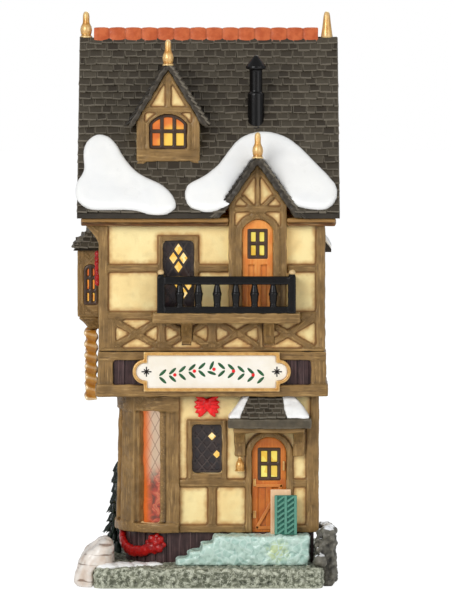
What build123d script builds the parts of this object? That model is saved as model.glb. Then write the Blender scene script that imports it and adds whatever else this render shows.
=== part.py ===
from build123d import *
import os
from math import acos, atan2, cos, degrees, hypot, radians, sin

os.makedirs("parts", exist_ok=True)

# A slip-cast porcelain village house with a clip-in lamp, in millimetres.
# The front faces -Y, +X is to the right, +Z is up and the origin is on the ground under its middle.

# Walls, gaps and cuts
wall = 3.0
fit_gap = 0.15
overrun = 20.0
film_thick = 0.5
film_lap = 1.0
bar_width = 0.9
bar_depth = 1.2

# Stone base, snow and rocks
base_left = 45.0
base_right = 46.6
base_depth = 108.0
base_height = 8.0
base_corner = 4.0
base_edge = 1.2
underside_width = 54.0
underside_depth = 44.0
underside_corner = 8.0
bank_left = 52.2
bank_right = 37.6
bank_front = 51.0
bank_rear = 12.0
bank_height = 18.4
bank_crest = 46.5
bank_crest_height = 14.6
bank_lip = 5.0
bank_corner = 6.4
bank_round = 3.0
rock_reach = 4.9
rock_height = 23.0
rock_edge = 1.4
rock_front = 46.0
rock_lengths = [15.0, 11.0, 17.0, 13.0, 16.0]
rock_height_shares = [1.0, 0.72, 0.88, 0.6, 0.78]

# Storey heights, from the ground up
plinth_height = 12.4
lower_height = 55.2
jetty_height = 18.0
upper_height = 50.4
cornice_height = 3.2

# Lower storey plan, with its rounded shop corner
lower_left = -33.6
lower_right = 43.8
lower_front = -34.0
lower_rear = 38.0
bow_radius = 17.5
plinth_inset = 0.8
board_width = 4.6
board_groove = 0.7
board_groove_depth = 0.6

# Upper storey plan
upper_left = -41.8
upper_right = 46.2
upper_front = -40.0
upper_rear = 40.0

# Timber framing in relief
timber_depth = 1.2
post_width = 3.8
rail_width = 3.0
edge_rail_width = 1.4
stud_width = 3.2
brace_width = 2.4
brace_bays = 4
frame_width = 1.8
sill_height = 2.2
mid_rail_drop = 5.4
upper_rail_height = 31.8
lower_stud_x = 2.2
knee_reach = 6.6
knee_drop = 12.0
knee_depth = 4.2
knee_waist_shares = (0.36, 0.4)

# Diamond lattice windows: place, height of the foot or drop of the head in the storey, width, height
lattice_bar = 0.6
lattice_columns = 3
lattice_rows = 4
low_window_x = 0.2
low_window_drop = 11.8
low_window_width = 12.0
low_window_height = 19.6
french_x = -11.2
french_width = 12.4
french_height = 28.4
side_window_y = -6.0
side_window_foot = 16.0
side_window_width = 13.0
side_window_height = 20.0
flank_window_y = 4.0
flank_window_drop = 10.8
flank_window_width = 13.0
flank_window_height = 19.6
rear_window_x = 20.0
rear_window_foot = 16.0
rear_window_width = 13.0
rear_window_height = 22.0
attic_window_foot = 20.0
attic_window_width = 9.0
attic_window_height = 11.0

# Shop window round the corner
shop_end_run = 5.1
shop_lintel_height = 6.4
shop_lintel_depth = 2.6
shop_sill_height = 3.6
shop_sill_depth = 3.4
shop_post_depth = 1.8
shop_post_flare = 1.1
shop_mullion_width = 8.4
shop_mullion_angle = 37.0
shop_pane_start_share = 0.09
shop_pane_end_share = 0.45

# Swag of red ribbon with a rosette, and the bow over the window
swag_thick = 1.8
swag_reach = 13.0
swag_top = 11.4
swag_sag = 8.0
swag_width = 4.6
rosette_angle = 256.0
rosette_height = 7.8
rosette_petal = 2.6
rosette_petals = 6
rosette_lobe_share = 0.6
bow_width = 10.4
bow_height = 7.2
bow_thick = 1.6
bow_x = 0.2
bow_tilt = 15.0
bow_tail_share = 0.4

# Front door and its steps
door_x = 25.1
door_width = 14.0
door_head_drop = 22.8
door_rise = 6.0
door_frame_width = 2.4
door_frame_depth = 1.9
door_thick = 1.6
door_recess = 0.6
door_light_width = 9.2
door_light_height = 13.2
door_light_drop = 11.6
door_panel_depth = 0.5
door_panel_margin = 2.2
handle_width = 0.9
handle_length = 4.0
handle_depth = 1.2
handle_drop = 5.6
hinge_height = 3.0
hinge_width = 1.2
hinge_depth = 0.6
hinge_foot_shares = [0.22, 0.62]
steps_left = -12.2
steps_right = 41.4
steps_depth = 11.5
steps_height = 12.0
steps_count = 4
step_run = 5.0
step_edge = 0.8

# Porch canopy over the door
porch_width = 33.2
porch_reach = 12.0
porch_slab = 3.6
porch_top_width = 17.6
porch_top_reach = 4.0
porch_edge = 0.6
moulding_height = 2.0
moulding_reach = 10.0
moulding_width = 28.4
console_width = 4.4
console_height = 10.0
console_reach = 8.4
console_foot_reach = 3.0
console_waist_reach = 3.8
console_waist_share = 0.45
left_porch_snow_foot = 11.4
left_porch_snow_head = 7.9
right_porch_snow_foot = 6.6
right_porch_snow_head = 5.1
porch_snow_lip = 1.2
bell_radius = 2.3
bell_height = 6.0
bell_stem = 0.7
bell_stem_height = 1.2
bell_lip = 0.8
bell_shoulder_shares = (0.62, 0.4)
bell_waist_share = 0.72

# Boards leaning beside the door
lean_board_left = 25.6
lean_board_width = 8.2
lean_board_height = 18.0
lean_shutter_left = 27.2
lean_shutter_width = 9.0
lean_shutter_height = 15.8
lean_thick = 1.1
lean_run = 2.0

# Fir tree against the left wall
tree_y = 3.0
tree_reach = 1.6
tree_radius = 8.4
tree_height = 37.4
tree_tiers = 6
tree_trunk_radius = 1.8
tree_trunk_height = 4.0
tree_tuck_share = 0.62
tree_tip = 0.5

# Jetty band and sign
jetty_rail_height = 4.8
jetty_rail_depth = 2.4
jetty_top_height = 3.4
jetty_top_depth = 1.6
jetty_stile_width = 4.4
sign_x = 2.1
sign_width = 63.0
sign_flat_width = 54.0
sign_height = 15.6
sign_end_height = 9.6
sign_frame_width = 1.2
sign_frame_depth = 2.0
sign_board_depth = 1.2
sign_foot = 2.4

# Balcony
balcony_x = 8.0
balcony_width = 58.8
balcony_reach = 10.6
balcony_foot = 12.0
balcony_thick = 4.0
railing_width = 54.6
railing_height = 14.4
railing_thick = 2.0
railing_inset = 0.6
top_rail_height = 2.8
bottom_rail_height = 2.4
post_size = 2.6
knob_radius = 1.25
baluster_count = 6
baluster_neck = 0.6
baluster_belly = 1.35
baluster_belly_share = 0.45
bracket_width = 4.4
bracket_height = 10.0
bracket_reach = 7.6
bracket_places = [-7.8, 24.8]
bracket_waist_shares = (0.4, 0.36)

# Gabled bay over the balcony door
gable_x = 20.4
gable_half = 18.0
gable_rise = 25.8
gable_thick = 2.4
gable_front = 48.4
gable_wall_half = 11.6
gable_wall_depth = 3.0
gable_post = 2.4
gable_barge = 1.7
gable_collar_height = 2.2
gable_collar_foot = 3.0
gable_king = 1.5
gable_fan_spread = 6.0
roof_flat = 1.4
bay_door_width = 12.4
bay_door_spring = 32.6
bay_door_rise = 4.4
bay_frame_width = 2.6
bay_light_width = 8.0
bay_light_height = 12.0
bay_light_foot = 21.2

# Main roof
roof_overhang_left = 9.6
roof_overhang_right = 6.8
roof_run = 48.0
roof_rise = 70.8
roof_edge = 2.0
roof_thick = 3.2
cornice_end = 1.5
cornice_upper_reach = 6.5
cornice_lower_reach = 4.5
verge_inset = 0.6
verge_thick = 1.6
verge_depth = 4.0
ridge_tile_count = 14
ridge_tile_gap = 0.3
ridge_tile_half = 3.2
ridge_tile_rise = 4.2
ridge_tile_lip = 1.4
ridge_tile_crown = 1.3
ridge_row_gap = 0.4
finial_height = 10.6
finial_radius = 2.4
left_finial_inset = 2.6
right_finial_inset = 4.4
finial_setback = 2.8
small_finial_height = 10.4
small_finial_radius = 2.2
finial_shares = [(1.0, 0.0), (0.95, 0.12), (0.45, 0.16), (0.5, 0.28), (1.0, 0.42), (0.8, 0.56), (0.36, 0.66),
                 (0.3, 1.0)]

# Dormer and flue
dormer_x = -15.3
dormer_half = 16.0
dormer_lift = 36.4
dormer_rise = 26.2
dormer_thick = 2.0
dormer_front = 34.4
dormer_overhang = 3.2
dormer_wall = 2.0
dormer_wall_half = 12.6
dormer_light_width = 15.2
dormer_light_drop = 9.4
dormer_light_spring = 10.0
dormer_light_rise = 4.0
dormer_frame = 1.4
dormer_barge = 1.4
dormer_post = 3.2
dormer_king = 2.2
dormer_collar = 2.0
dormer_collar_rise = 5.4
flue_x = 19.8
flue_y = -23.2
flue_radius = 2.6
flue_sleeve_radius = 3.4
flue_sleeve_top = 49.2
flue_top = 58.6
flue_cap_radius = 4.1
flue_cap_height = 5.6
flue_cap_rim = 1.2

# Snow on the roof: corners as shares of its width and its height up the slope
snow_thick = 3.4
snow_round = 2.2
left_snow_left = -52.6
left_snow_width = 42.0
left_snow_foot = -1.6
left_snow_height = 38.0
left_snow_shares = [(0.0, 0.30), (0.10, 0.10), (0.30, 0.06), (0.55, 0.06), (0.80, 0.0), (0.97, 0.09),
                    (0.92, 0.28), (0.62, 0.52), (0.47, 0.72), (0.36, 0.93), (0.22, 1.0), (0.09, 0.86),
                    (0.08, 0.55)]
right_snow_left = -9.0
right_snow_width = 62.0
right_snow_foot = 0.2
right_snow_height = 37.0
right_snow_shares = [(0.0, 0.24), (0.04, 0.04), (0.18, 0.0), (0.5, 0.12), (0.82, 0.02), (0.95, 0.06),
                     (0.99, 0.22),
                     (0.90, 0.52), (0.74, 0.84), (0.55, 1.0), (0.36, 0.92), (0.22, 0.6), (0.10, 0.42)]

# Oriel on the left wall, hood on the right wall
oriel_y = -10.0
oriel_width = 34.0
oriel_reach = 10.0
oriel_foot = 12.8
oriel_height = 26.8
oriel_wall = 1.4
oriel_roof_height = 9.0
oriel_eave = 1.6
oriel_top_reach = 3.0
oriel_top_share = 0.66
oriel_corbel_height = 5.2
oriel_corbel_reach = 5.4
oriel_light_width = 5.6
oriel_light_place = 4.6
oriel_light_foot = 5.0
oriel_light_spring = 14.0
oriel_light_rise = 2.2
oriel_lights = 3
oriel_light_step = 9.6
console_drop = 28.4
console_thick = 5.0
console_y = -18.0
console_proud = 4.0
console_ridges = 6
console_ridge_depth = 0.9
hood_y = -6.0
hood_width = 24.0
hood_foot = 38.4
hood_height = 6.4
hood_reach = 4.0
hood_edge = 1.2
hood_snow = 1.5

# Lamp: clip-in holder through the rear wall, and its candle bulb
lamp_x = 5.1
lamp_height = 26.4
lamp_hole_radius = 15.0
seat_gap = 0.1
flange_radius = 17.5
flange_thick = 2.5
flange_gap = 0.4
holder_radius = 9.0
holder_depth = 18.0
holder_bore = 6.9
holder_cap_radius = 11.0
holder_cap_depth = 8.5
holder_cap_bevel = 2.0
cord_bore = 2.75
cord_wall = 7.0
contact_gap = 0.1
contact_thick = 0.5
contact_inset = 1.0
contact_disc = 0.6
clip_root = 12.0
clip_bulge = 14.2
clip_end = 12.2
clip_length = 15.0
clip_bulge_depth = 5.0
clip_width = 6.0
clip_thick = 0.5
clip_root_gap = 0.3
cap_radius = 5.95
cap_bore = 5.1
cap_length = 13.0
cap_ridges = 5
cap_ridge_depth = 0.3
cap_lip = 0.6
tip_length = 3.0
tip_radius = 3.2
tip_gap = 0.3
tip_nose = 1.5
glass_neck = 4.9
glass_neck_length = 12.0
glass_radius = 11.0
glass_length = 40.0
glass_wall = 0.8
stem_radius = 1.8
stem_length = 9.0
stem_flare = 2.5
wire_radius = 0.35
wire_length = 12.0
wire_spread = 2.0

# Levels and faces that follow from the sizes above
lower_z = base_height + plinth_height
jetty_z = lower_z + lower_height
upper_z = jetty_z + jetty_height
upper_top = upper_z + upper_height
eave_z = upper_top + cornice_height
floor_z = upper_z + balcony_foot
floor_top = floor_z + balcony_thick
lower_x = (lower_left + lower_right) / 2
upper_x = (upper_left + upper_right) / 2
upper_y = (upper_front + upper_rear) / 2
bow_center = (lower_left + bow_radius, lower_front + bow_radius)
roof_left = upper_left - roof_overhang_left
roof_right = upper_right + roof_overhang_right
roof_length = roof_right - roof_left
left_finial_x = roof_left + left_finial_inset
right_finial_x = roof_right - right_finial_inset
ridge_row_left = left_finial_x + finial_radius + ridge_row_gap
ridge_row_length = right_finial_x - finial_radius - ridge_row_gap - ridge_row_left
roof_slope = roof_rise / roof_run
roof_pitch = atan2(roof_rise, roof_run)
roof_drop = roof_thick / cos(roof_pitch)
roof_inner_half = roof_run - (roof_drop - roof_edge) / roof_slope
roof_apex = eave_z + roof_edge + roof_rise
ridge_z = roof_apex - roof_flat * roof_slope
lamp_z = lower_z + lamp_height
hood_z = upper_z + hood_foot
dormer_z = eave_z + dormer_lift
low_window_foot = lower_height - low_window_drop - low_window_height
flank_window_foot = lower_height - flank_window_drop - flank_window_height
mid_rail_height = low_window_foot - mid_rail_drop
door_spring = lower_height - door_head_drop
door_light_foot = door_spring - door_light_drop
handle_foot = door_spring - handle_drop
moulding_z = lower_z + door_spring + door_rise + door_frame_width
porch_z = moulding_z + moulding_height


def facing(x, y, outward):
    """Drawing plane on a wall, with its x along the wall and its y up from the ground."""
    normal = Vector(*outward)
    return Plane(origin=(x, y, 0), x_dir=Vector(0, 0, 1).cross(normal), z_dir=normal)


def span(left, right, low, high, mode=Mode.ADD):
    """Rectangle between four edges."""
    with Locations(((left + right) / 2, (low + high) / 2)):
        Rectangle(right - left, high - low, mode=mode)


def brace(start, end, width):
    """Straight strip between two points."""
    run = Vector(*end) - Vector(*start)
    with Locations((Vector(*start) + Vector(*end)) * 0.5):
        Rectangle(run.length, width, rotation=degrees(atan2(run.Y, run.X)))


def outline(points, mode=Mode.ADD):
    """Face inside a closed run of straight edges."""
    with BuildLine() as edge:
        Polyline(*points, close=True)
    make_face(edge.edges(), mode=mode)


def arched(middle, width, low, spring, rise, mode=Mode.ADD):
    """Face with a flat foot, straight sides and an arched head."""
    left = middle - width / 2
    right = middle + width / 2
    with BuildLine() as edge:
        Polyline((left, spring), (left, low), (right, low), (right, spring))
        ThreePointArc((right, spring), (middle, spring + rise), (left, spring))
    make_face(edge.edges(), mode=mode)


def lower_plan(inset):
    """Plan of the lower storey, drawn in from its outer face."""
    with BuildSketch() as plan:
        span(lower_left + inset, lower_right - inset, lower_front + inset, lower_rear - inset)
        fillet(plan.vertices().group_by(Axis.X)[0].sort_by(Axis.Y)[0], bow_radius - inset)
    return plan.sketch


def upper_plan(inset):
    """Plan of the upper storey, drawn in from its outer face."""
    with BuildSketch() as plan:
        span(upper_left + inset, upper_right - inset, upper_front + inset, upper_rear - inset)
    return plan.sketch


def vee_outer(middle, half, low, rise):
    """Outside of a pitched roof with a small flat for its ridge."""
    top = low + rise * (half - roof_flat) / half
    return [(middle - half, low), (middle - roof_flat, top), (middle + roof_flat, top), (middle + half, low)]


def vee_apex(half, low, rise, thick):
    """Height of the inner apex of a pitched roof of one thickness."""
    return low + rise - thick / cos(atan2(rise, half))


def vee_slab(middle, half, low, rise, thick):
    """Outline of both slabs of a pitched roof, with level feet."""
    apex = vee_apex(half, low, rise, thick)
    inner_half = (apex - low) * half / rise
    under = [(middle + inner_half, low), (middle, apex), (middle - inner_half, low)]
    return vee_outer(middle, half, low, rise) + under


def gable_face(middle, half, low, apex, slope):
    """Wall outline under a pitched roof."""
    side = apex - half * slope
    return [(middle - half, low), (middle + half, low), (middle + half, side), (middle, apex),
            (middle - half, side)]


def roof_height(y):
    """Height of the main roof's outer face over a point."""
    return eave_z + roof_edge + (roof_run - abs(y)) * roof_slope


# Wall planes, each facing outwards
front_lower = facing(0, lower_front, (0, -1, 0))
right_lower = facing(lower_right, 0, (1, 0, 0))
left_lower = facing(lower_left, 0, (-1, 0, 0))
rear_lower = facing(0, lower_rear, (0, 1, 0))
front_upper = facing(0, upper_front, (0, -1, 0))
right_upper = facing(upper_right, 0, (1, 0, 0))
left_upper = facing(upper_left, 0, (-1, 0, 0))
rear_upper = facing(0, upper_rear, (0, 1, 0))
bay_face = front_upper.offset(gable_wall_depth)
dormer_face = facing(0, -dormer_front, (0, -1, 0))
oriel_side = facing(upper_left - oriel_reach, 0, (-1, 0, 0))
oriel_front = facing(0, oriel_y - oriel_width / 2, (0, -1, 0))

# Lattice windows as wall, middle, foot, width and height
lower_windows = [
    (front_lower, low_window_x, lower_z + low_window_foot, low_window_width, low_window_height),
    (right_lower, flank_window_y, lower_z + flank_window_foot, flank_window_width, flank_window_height),
]
upper_windows = [
    (front_upper, french_x, floor_top, french_width, french_height),
    (right_upper, side_window_y, upper_z + side_window_foot, side_window_width, side_window_height),
    (rear_upper, rear_window_x, upper_z + rear_window_foot, rear_window_width, rear_window_height),
    (rear_upper, -rear_window_x, upper_z + rear_window_foot, rear_window_width, rear_window_height),
]
attic_windows = [
    (right_upper, 0, upper_top + attic_window_foot, attic_window_width, attic_window_height),
    (left_upper, 0, upper_top + attic_window_foot, attic_window_width, attic_window_height),
]
oriel_z = upper_z + oriel_foot
oriel_light_x = upper_left - oriel_light_place
oriel_openings = [(oriel_front, oriel_light_x)]
for light in range(oriel_lights):
    oriel_openings.append((oriel_side, -oriel_y + (light - (oriel_lights - 1) / 2) * oriel_light_step))


def window_hole(window):
    """Cut one lattice window through its wall."""
    plane, middle, foot, width, height = window
    with BuildSketch(plane) as hole:
        span(middle - width / 2, middle + width / 2, foot, foot + height)
    extrude(hole.sketch, amount=-wall, mode=Mode.SUBTRACT)


def window_frame(window):
    """Draw the casing and the sill round one lattice window."""
    plane, middle, foot, width, height = window
    half = width / 2
    span(middle - half - frame_width, middle + half + frame_width, foot - sill_height,
         foot + height + frame_width)


def window_void(window):
    """Clear one lattice window's opening out of the drawn timbers."""
    plane, middle, foot, width, height = window
    span(middle - width / 2, middle + width / 2, foot, foot + height, mode=Mode.SUBTRACT)


# Stone base slab, open underneath
with BuildPart() as base_slab:
    with BuildSketch():
        span(-base_left, base_right, -base_depth / 2, base_depth / 2)
        fillet(vertices(), base_corner)
        with Locations((lower_x, (lower_front + lower_rear) / 2)):
            RectangleRounded(underside_width, underside_depth, underside_corner, mode=Mode.SUBTRACT)
    extrude(amount=base_height)
    chamfer(base_slab.faces().sort_by(Axis.Z)[-1].outer_wire().edges(), base_edge)
base_slab.part.label = "base_slab"
export_step(base_slab.part, "parts/base_slab.step")

# Drift of snow that climbs over the base's left front corner
with BuildPart() as snow_bank:
    with BuildSketch(Plane.XZ.offset(bank_rear)):
        with BuildLine():
            Polyline((-bank_left, bank_lip), (-bank_left, 0), (-bank_right, 0), (-bank_right, bank_height))
            ThreePointArc((-bank_right, bank_height), (-bank_crest, bank_crest_height), (-bank_left, bank_lip))
        make_face()
    extrude(amount=bank_front - bank_rear)
    fillet(snow_bank.edges().filter_by(Axis.Z), bank_corner)
    fillet(snow_bank.faces().sort_by(Axis.Z)[-1].edges(), bank_round)
    add(base_slab.part, mode=Mode.SUBTRACT)
snow_bank.part.label = "snow_bank"
export_step(snow_bank.part, "parts/snow_bank.step")

# Row of rough rocks along the base's right side
with BuildPart() as side_rocks:
    rock_start = -rock_front
    for length, share in zip(rock_lengths, rock_height_shares):
        with BuildSketch():
            span(base_right, base_right + rock_reach, rock_start, rock_start + length)
        rock = extrude(amount=rock_height * share)
        rock_start += length
    chamfer(side_rocks.edges().group_by(Axis.X)[-1].filter_by(Axis.Y), rock_edge)
side_rocks.part.label = "side_rocks"
export_step(side_rocks.part, "parts/side_rocks.step")

# Boarded plinth ring, with a groove between boards along the front
with BuildPart() as plinth:
    with BuildSketch(Plane.XY.offset(base_height)):
        add(lower_plan(plinth_inset))
        add(lower_plan(plinth_inset + wall), mode=Mode.SUBTRACT)
    extrude(amount=plinth_height)
    groove_count = int((steps_left - bow_center[0]) / board_width) + 1
    with BuildSketch(Plane.XY.offset(base_height)):
        for groove in range(groove_count):
            with Locations((bow_center[0] + groove * board_width, lower_front + plinth_inset)):
                Rectangle(board_groove, 2 * board_groove_depth)
        for groove in range(1, int(bow_radius / board_width) + 2):
            with Locations(Pos(*bow_center) * Rot(0, 0, -groove * degrees(board_width / bow_radius))):
                with Locations((0, plinth_inset - bow_radius)):
                    Rectangle(board_groove, 2 * board_groove_depth)
    extrude(amount=plinth_height, mode=Mode.SUBTRACT)
plinth.part.label = "plinth"
export_step(plinth.part, "parts/plinth.step")

# Packed-snow steps, climbing along the front to the door
with BuildPart() as entry_steps:
    with BuildSketch(facing(0, lower_front + plinth_inset, (0, -1, 0))):
        for step in range(steps_count):
            top = base_height + steps_height * (step + 1) / steps_count
            span(steps_left + step * step_run, steps_right, base_height, top)
    extrude(amount=steps_depth)
    chamfer(entry_steps.faces().sort_by(Axis.Y)[0].edges(), step_edge)
entry_steps.part.label = "entry_steps"
export_step(entry_steps.part, "parts/entry_steps.step")

# Lower storey walls, one cast ring with a rounded shop corner
with BuildPart() as lower_storey:
    with BuildSketch(Plane.XY.offset(lower_z)):
        add(lower_plan(0))
        add(lower_plan(wall), mode=Mode.SUBTRACT)
    extrude(amount=lower_height)
    for window in lower_windows:
        window_hole(window)
    with BuildSketch(front_lower):
        arched(door_x, door_width, lower_z, lower_z + door_spring, door_rise)
    extrude(amount=-wall, mode=Mode.SUBTRACT)
    with BuildSketch(rear_lower):
        with Locations((-lamp_x, lamp_z)):
            Circle(lamp_hole_radius)
    extrude(amount=-wall, mode=Mode.SUBTRACT)
    with BuildSketch(Plane.XY.offset(lower_z + shop_sill_height)):
        for side in (0, 1):
            shares = (shop_pane_start_share, shop_pane_end_share)
            turns = [radians(180 + 90 * abs(side - share)) for share in shares]
            reach = bow_radius + overrun
            corners = [(bow_center[0] + reach * cos(turn),
                        bow_center[1] + reach * sin(turn)) for turn in turns]
            outline([bow_center] + corners)
    extrude(amount=lower_height - shop_sill_height - shop_lintel_height, mode=Mode.SUBTRACT)
lower_storey.part.label = "lower_storey"
export_step(lower_storey.part, "parts/lower_storey.step")

# Timber framing in relief on the lower walls
mid_rail_z = lower_z + mid_rail_height
shop_front_end = bow_center[0] + shop_end_run
shop_side_end = bow_center[1] + shop_end_run
with BuildPart() as lower_timbers:
    with BuildSketch(front_lower):
        span(shop_front_end, lower_right + timber_depth, lower_z, lower_z + rail_width)
        span(shop_front_end, lower_right + timber_depth, mid_rail_z, mid_rail_z + rail_width)
        span(lower_right - post_width, lower_right + timber_depth, lower_z, jetty_z)
        with Locations((lower_stud_x, (lower_z + mid_rail_z) / 2)):
            Rectangle(stud_width, mid_rail_height)
        window_frame(lower_windows[0])
        window_void(lower_windows[0])
        arched(door_x, door_width + 2 * door_frame_width, lower_z, lower_z + door_spring,
               door_rise + door_frame_width, mode=Mode.SUBTRACT)
        span(door_x - porch_width / 2, door_x + porch_width / 2, porch_z, jetty_z, mode=Mode.SUBTRACT)
    extrude(amount=timber_depth)
    with BuildSketch(front_lower):
        arched(door_x, door_width + 2 * door_frame_width, lower_z, lower_z + door_spring,
               door_rise + door_frame_width)
        arched(door_x, door_width, lower_z, lower_z + door_spring, door_rise, mode=Mode.SUBTRACT)
    extrude(amount=door_frame_depth)
    with BuildSketch(right_lower):
        span(lower_front, lower_rear, lower_z, lower_z + rail_width)
        span(lower_front, lower_rear, mid_rail_z, mid_rail_z + rail_width)
        span(lower_front, lower_front + post_width, lower_z, jetty_z)
        span(lower_rear - post_width, lower_rear, lower_z, jetty_z)
        brace((lower_front + post_width, lower_z + rail_width), (flank_window_y, mid_rail_z), brace_width)
        brace((lower_rear - post_width, lower_z + rail_width), (flank_window_y, mid_rail_z), brace_width)
        window_frame(lower_windows[1])
        window_void(lower_windows[1])
    extrude(amount=timber_depth)
    with BuildSketch(left_lower):
        span(-lower_rear, -shop_side_end, mid_rail_z, mid_rail_z + rail_width)
        span(-lower_rear, -shop_side_end, lower_z, lower_z + rail_width)
        span(-lower_rear, -lower_rear + post_width, lower_z, jetty_z)
    extrude(amount=timber_depth)
    with BuildSketch(rear_lower):
        span(-lower_right - timber_depth, -lower_left + timber_depth, lower_z, lower_z + rail_width)
        span(-lower_right - timber_depth, -lower_left + timber_depth, mid_rail_z, mid_rail_z + rail_width)
        span(-lower_right - timber_depth, -lower_right + post_width, lower_z, jetty_z)
        span(-lower_left - post_width, -lower_left + timber_depth, lower_z, jetty_z)
        with Locations((-lamp_x, lamp_z)):
            Circle(flange_radius + rail_width)
            Circle(flange_radius + flange_gap, mode=Mode.SUBTRACT)
    extrude(amount=timber_depth)
lower_timbers.part.label = "lower_timbers"
export_step(lower_timbers.part, "parts/lower_timbers.step")


def shop_band(z, height, depth):
    """Band of the shop front, standing proud of the rounded corner."""
    with BuildSketch(Plane.XY.offset(z)) as band:
        add(lower_plan(-depth))
        add(lower_plan(0), mode=Mode.SUBTRACT)
        span(lower_left - overrun, shop_front_end, lower_front - overrun, shop_side_end, mode=Mode.INTERSECT)
    extrude(band.sketch, amount=height)


def shop_post_foot(z, depth):
    """Plans of the three shop posts at one height."""
    with BuildSketch(Plane.XY.offset(z)) as feet:
        span(bow_center[0], shop_front_end, lower_front - depth, lower_front)
        span(lower_left - depth, lower_left, bow_center[1], shop_side_end)
        with Locations(Pos(*bow_center) * Rot(0, 0, shop_mullion_angle)):
            with Locations((-bow_radius - (depth - wall) / 2, 0)):
                Rectangle(depth + wall, shop_mullion_width)
    return feet.sketch


# Shop front round the corner: flared sill, lintel and three posts
with BuildPart() as shop_window_frame:
    shop_top = jetty_z - shop_lintel_height
    feet = shop_post_foot(lower_z + shop_sill_height,
                          shop_post_depth + shop_post_flare).faces().sort_by(Axis.X)
    heads = shop_post_foot(shop_top, shop_post_depth).faces().sort_by(Axis.X)
    for foot, head in zip(feet, heads):
        loft([foot, head])
    with BuildSketch(Plane.XY.offset(lower_z)):
        add(lower_plan(0))
    extrude(amount=lower_height, mode=Mode.SUBTRACT)
    shop_band(lower_z, shop_sill_height, shop_sill_depth)
    shop_band(shop_top, shop_lintel_height, shop_lintel_depth)
shop_window_frame.part.label = "shop_window_frame"
export_step(shop_window_frame.part, "parts/shop_window_frame.step")

# Printed film curved inside the shop window
with BuildPart() as shop_window_film:
    with BuildSketch(Plane.XY.offset(lower_z + shop_sill_height - film_lap)):
        with Locations(bow_center):
            Circle(bow_radius - wall)
            Circle(bow_radius - wall - film_thick, mode=Mode.SUBTRACT)
        span(lower_left, bow_center[0], lower_front, bow_center[1], mode=Mode.INTERSECT)
    extrude(amount=lower_height - shop_sill_height - shop_lintel_height + 2 * film_lap)
shop_window_film.part.label = "shop_window_film"
export_step(shop_window_film.part, "parts/shop_window_film.step")

# Red ribbon swag round the plinth's corner, with a rosette at its right end
corner_plane = facing(*bow_center, (-1, -1, 0))
plinth_radius = bow_radius - plinth_inset
rosette_turn = radians(rosette_angle)
with BuildPart() as shop_swag:
    with BuildSketch(corner_plane):
        swag_z = base_height + swag_top
        with BuildLine():
            ThreePointArc((-swag_reach, swag_z), (0, swag_z - swag_sag), (swag_reach, swag_z))
            ThreePointArc((swag_reach, swag_z), (0, swag_z - swag_sag + swag_width), (-swag_reach, swag_z))
        make_face()
    extrude(amount=bow_radius + overrun)
    rosette_plane = facing(*bow_center, (cos(rosette_turn), sin(rosette_turn), 0))
    with BuildSketch(rosette_plane):
        with Locations((0, base_height + rosette_height)):
            with PolarLocations(rosette_petal, rosette_petals):
                Circle(rosette_petal * rosette_lobe_share)
            Circle(rosette_petal)
    extrude(amount=bow_radius + overrun)
    with BuildSketch(Plane.XY.offset(base_height)):
        with Locations(bow_center):
            Circle(plinth_radius + swag_thick)
            Circle(plinth_radius, mode=Mode.SUBTRACT)
        span(lower_left - overrun, bow_center[0], lower_front - overrun, bow_center[1], mode=Mode.INTERSECT)
    extrude(amount=plinth_height, mode=Mode.INTERSECT)
shop_swag.part.label = "shop_swag"
export_step(shop_swag.part, "parts/shop_swag.step")

# Red ribbon bow over the lower window
bow_z = jetty_z - bow_height / 2
with BuildPart() as ribbon_bow:
    with BuildSketch(front_lower):
        for side in (-1, 1):
            loop_x = side * bow_width / 4
            with Locations((bow_x + loop_x, bow_z + bow_height / 8)):
                Ellipse(bow_width / 4, bow_height / 4, rotation=side * bow_tilt)
            brace((bow_x, bow_z), (bow_x + loop_x, bow_z - bow_height * bow_tail_share), bow_height / 4)
        with Locations((bow_x, bow_z)):
            Circle(bow_height / 5)
    extrude(amount=bow_thick)
ribbon_bow.part.label = "ribbon_bow"
export_step(ribbon_bow.part, "parts/ribbon_bow.step")


def door_leaf(face, middle, width, foot, spring, rise, light_width, light_height, light_foot):
    """One arched door leaf in its opening, with a light and two sunk panels."""
    inner = width - 2 * fit_gap
    with BuildSketch(face.offset(-door_recess)) as leaf:
        arched(middle, inner, foot, spring, rise - fit_gap)
        span(middle - light_width / 2, middle + light_width / 2, foot + light_foot,
             foot + light_foot + light_height,
             mode=Mode.SUBTRACT)
    extrude(leaf.sketch, amount=-door_thick)
    panel_width = (inner - 3 * door_panel_margin) / 2
    panel_height = light_foot - 2 * door_panel_margin
    with BuildSketch(face.offset(-door_recess)) as panels:
        for side in (-1, 1):
            with Locations((middle + side * (panel_width + door_panel_margin) / 2, foot + light_foot / 2)):
                Rectangle(panel_width, panel_height)
    extrude(panels.sketch, amount=-door_panel_depth, mode=Mode.SUBTRACT)


# Front door leaf
with BuildPart() as front_door:
    door_leaf(front_lower, door_x, door_width, lower_z, lower_z + door_spring, door_rise,
              door_light_width, door_light_height, door_light_foot)
front_door.part.label = "front_door"
export_step(front_door.part, "parts/front_door.step")

# Gilt handle and strap hinges on the front door
with BuildPart() as door_fittings:
    with BuildSketch(front_lower.offset(-door_recess)):
        handle_x = door_x + (door_width + door_light_width) / 4
        with Locations((handle_x, lower_z + handle_foot)):
            SlotOverall(handle_length, handle_width, rotation=90)
    extrude(amount=handle_depth)
    with BuildSketch(front_lower.offset(-door_recess)):
        for share in hinge_foot_shares:
            hinge_x = door_x - (door_width - door_panel_margin) / 2
            with Locations((hinge_x, lower_z + door_spring * share)):
                Rectangle(hinge_width, hinge_height)
    extrude(amount=hinge_depth)
door_fittings.part.label = "door_fittings"
export_step(door_fittings.part, "parts/door_fittings.step")

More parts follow.
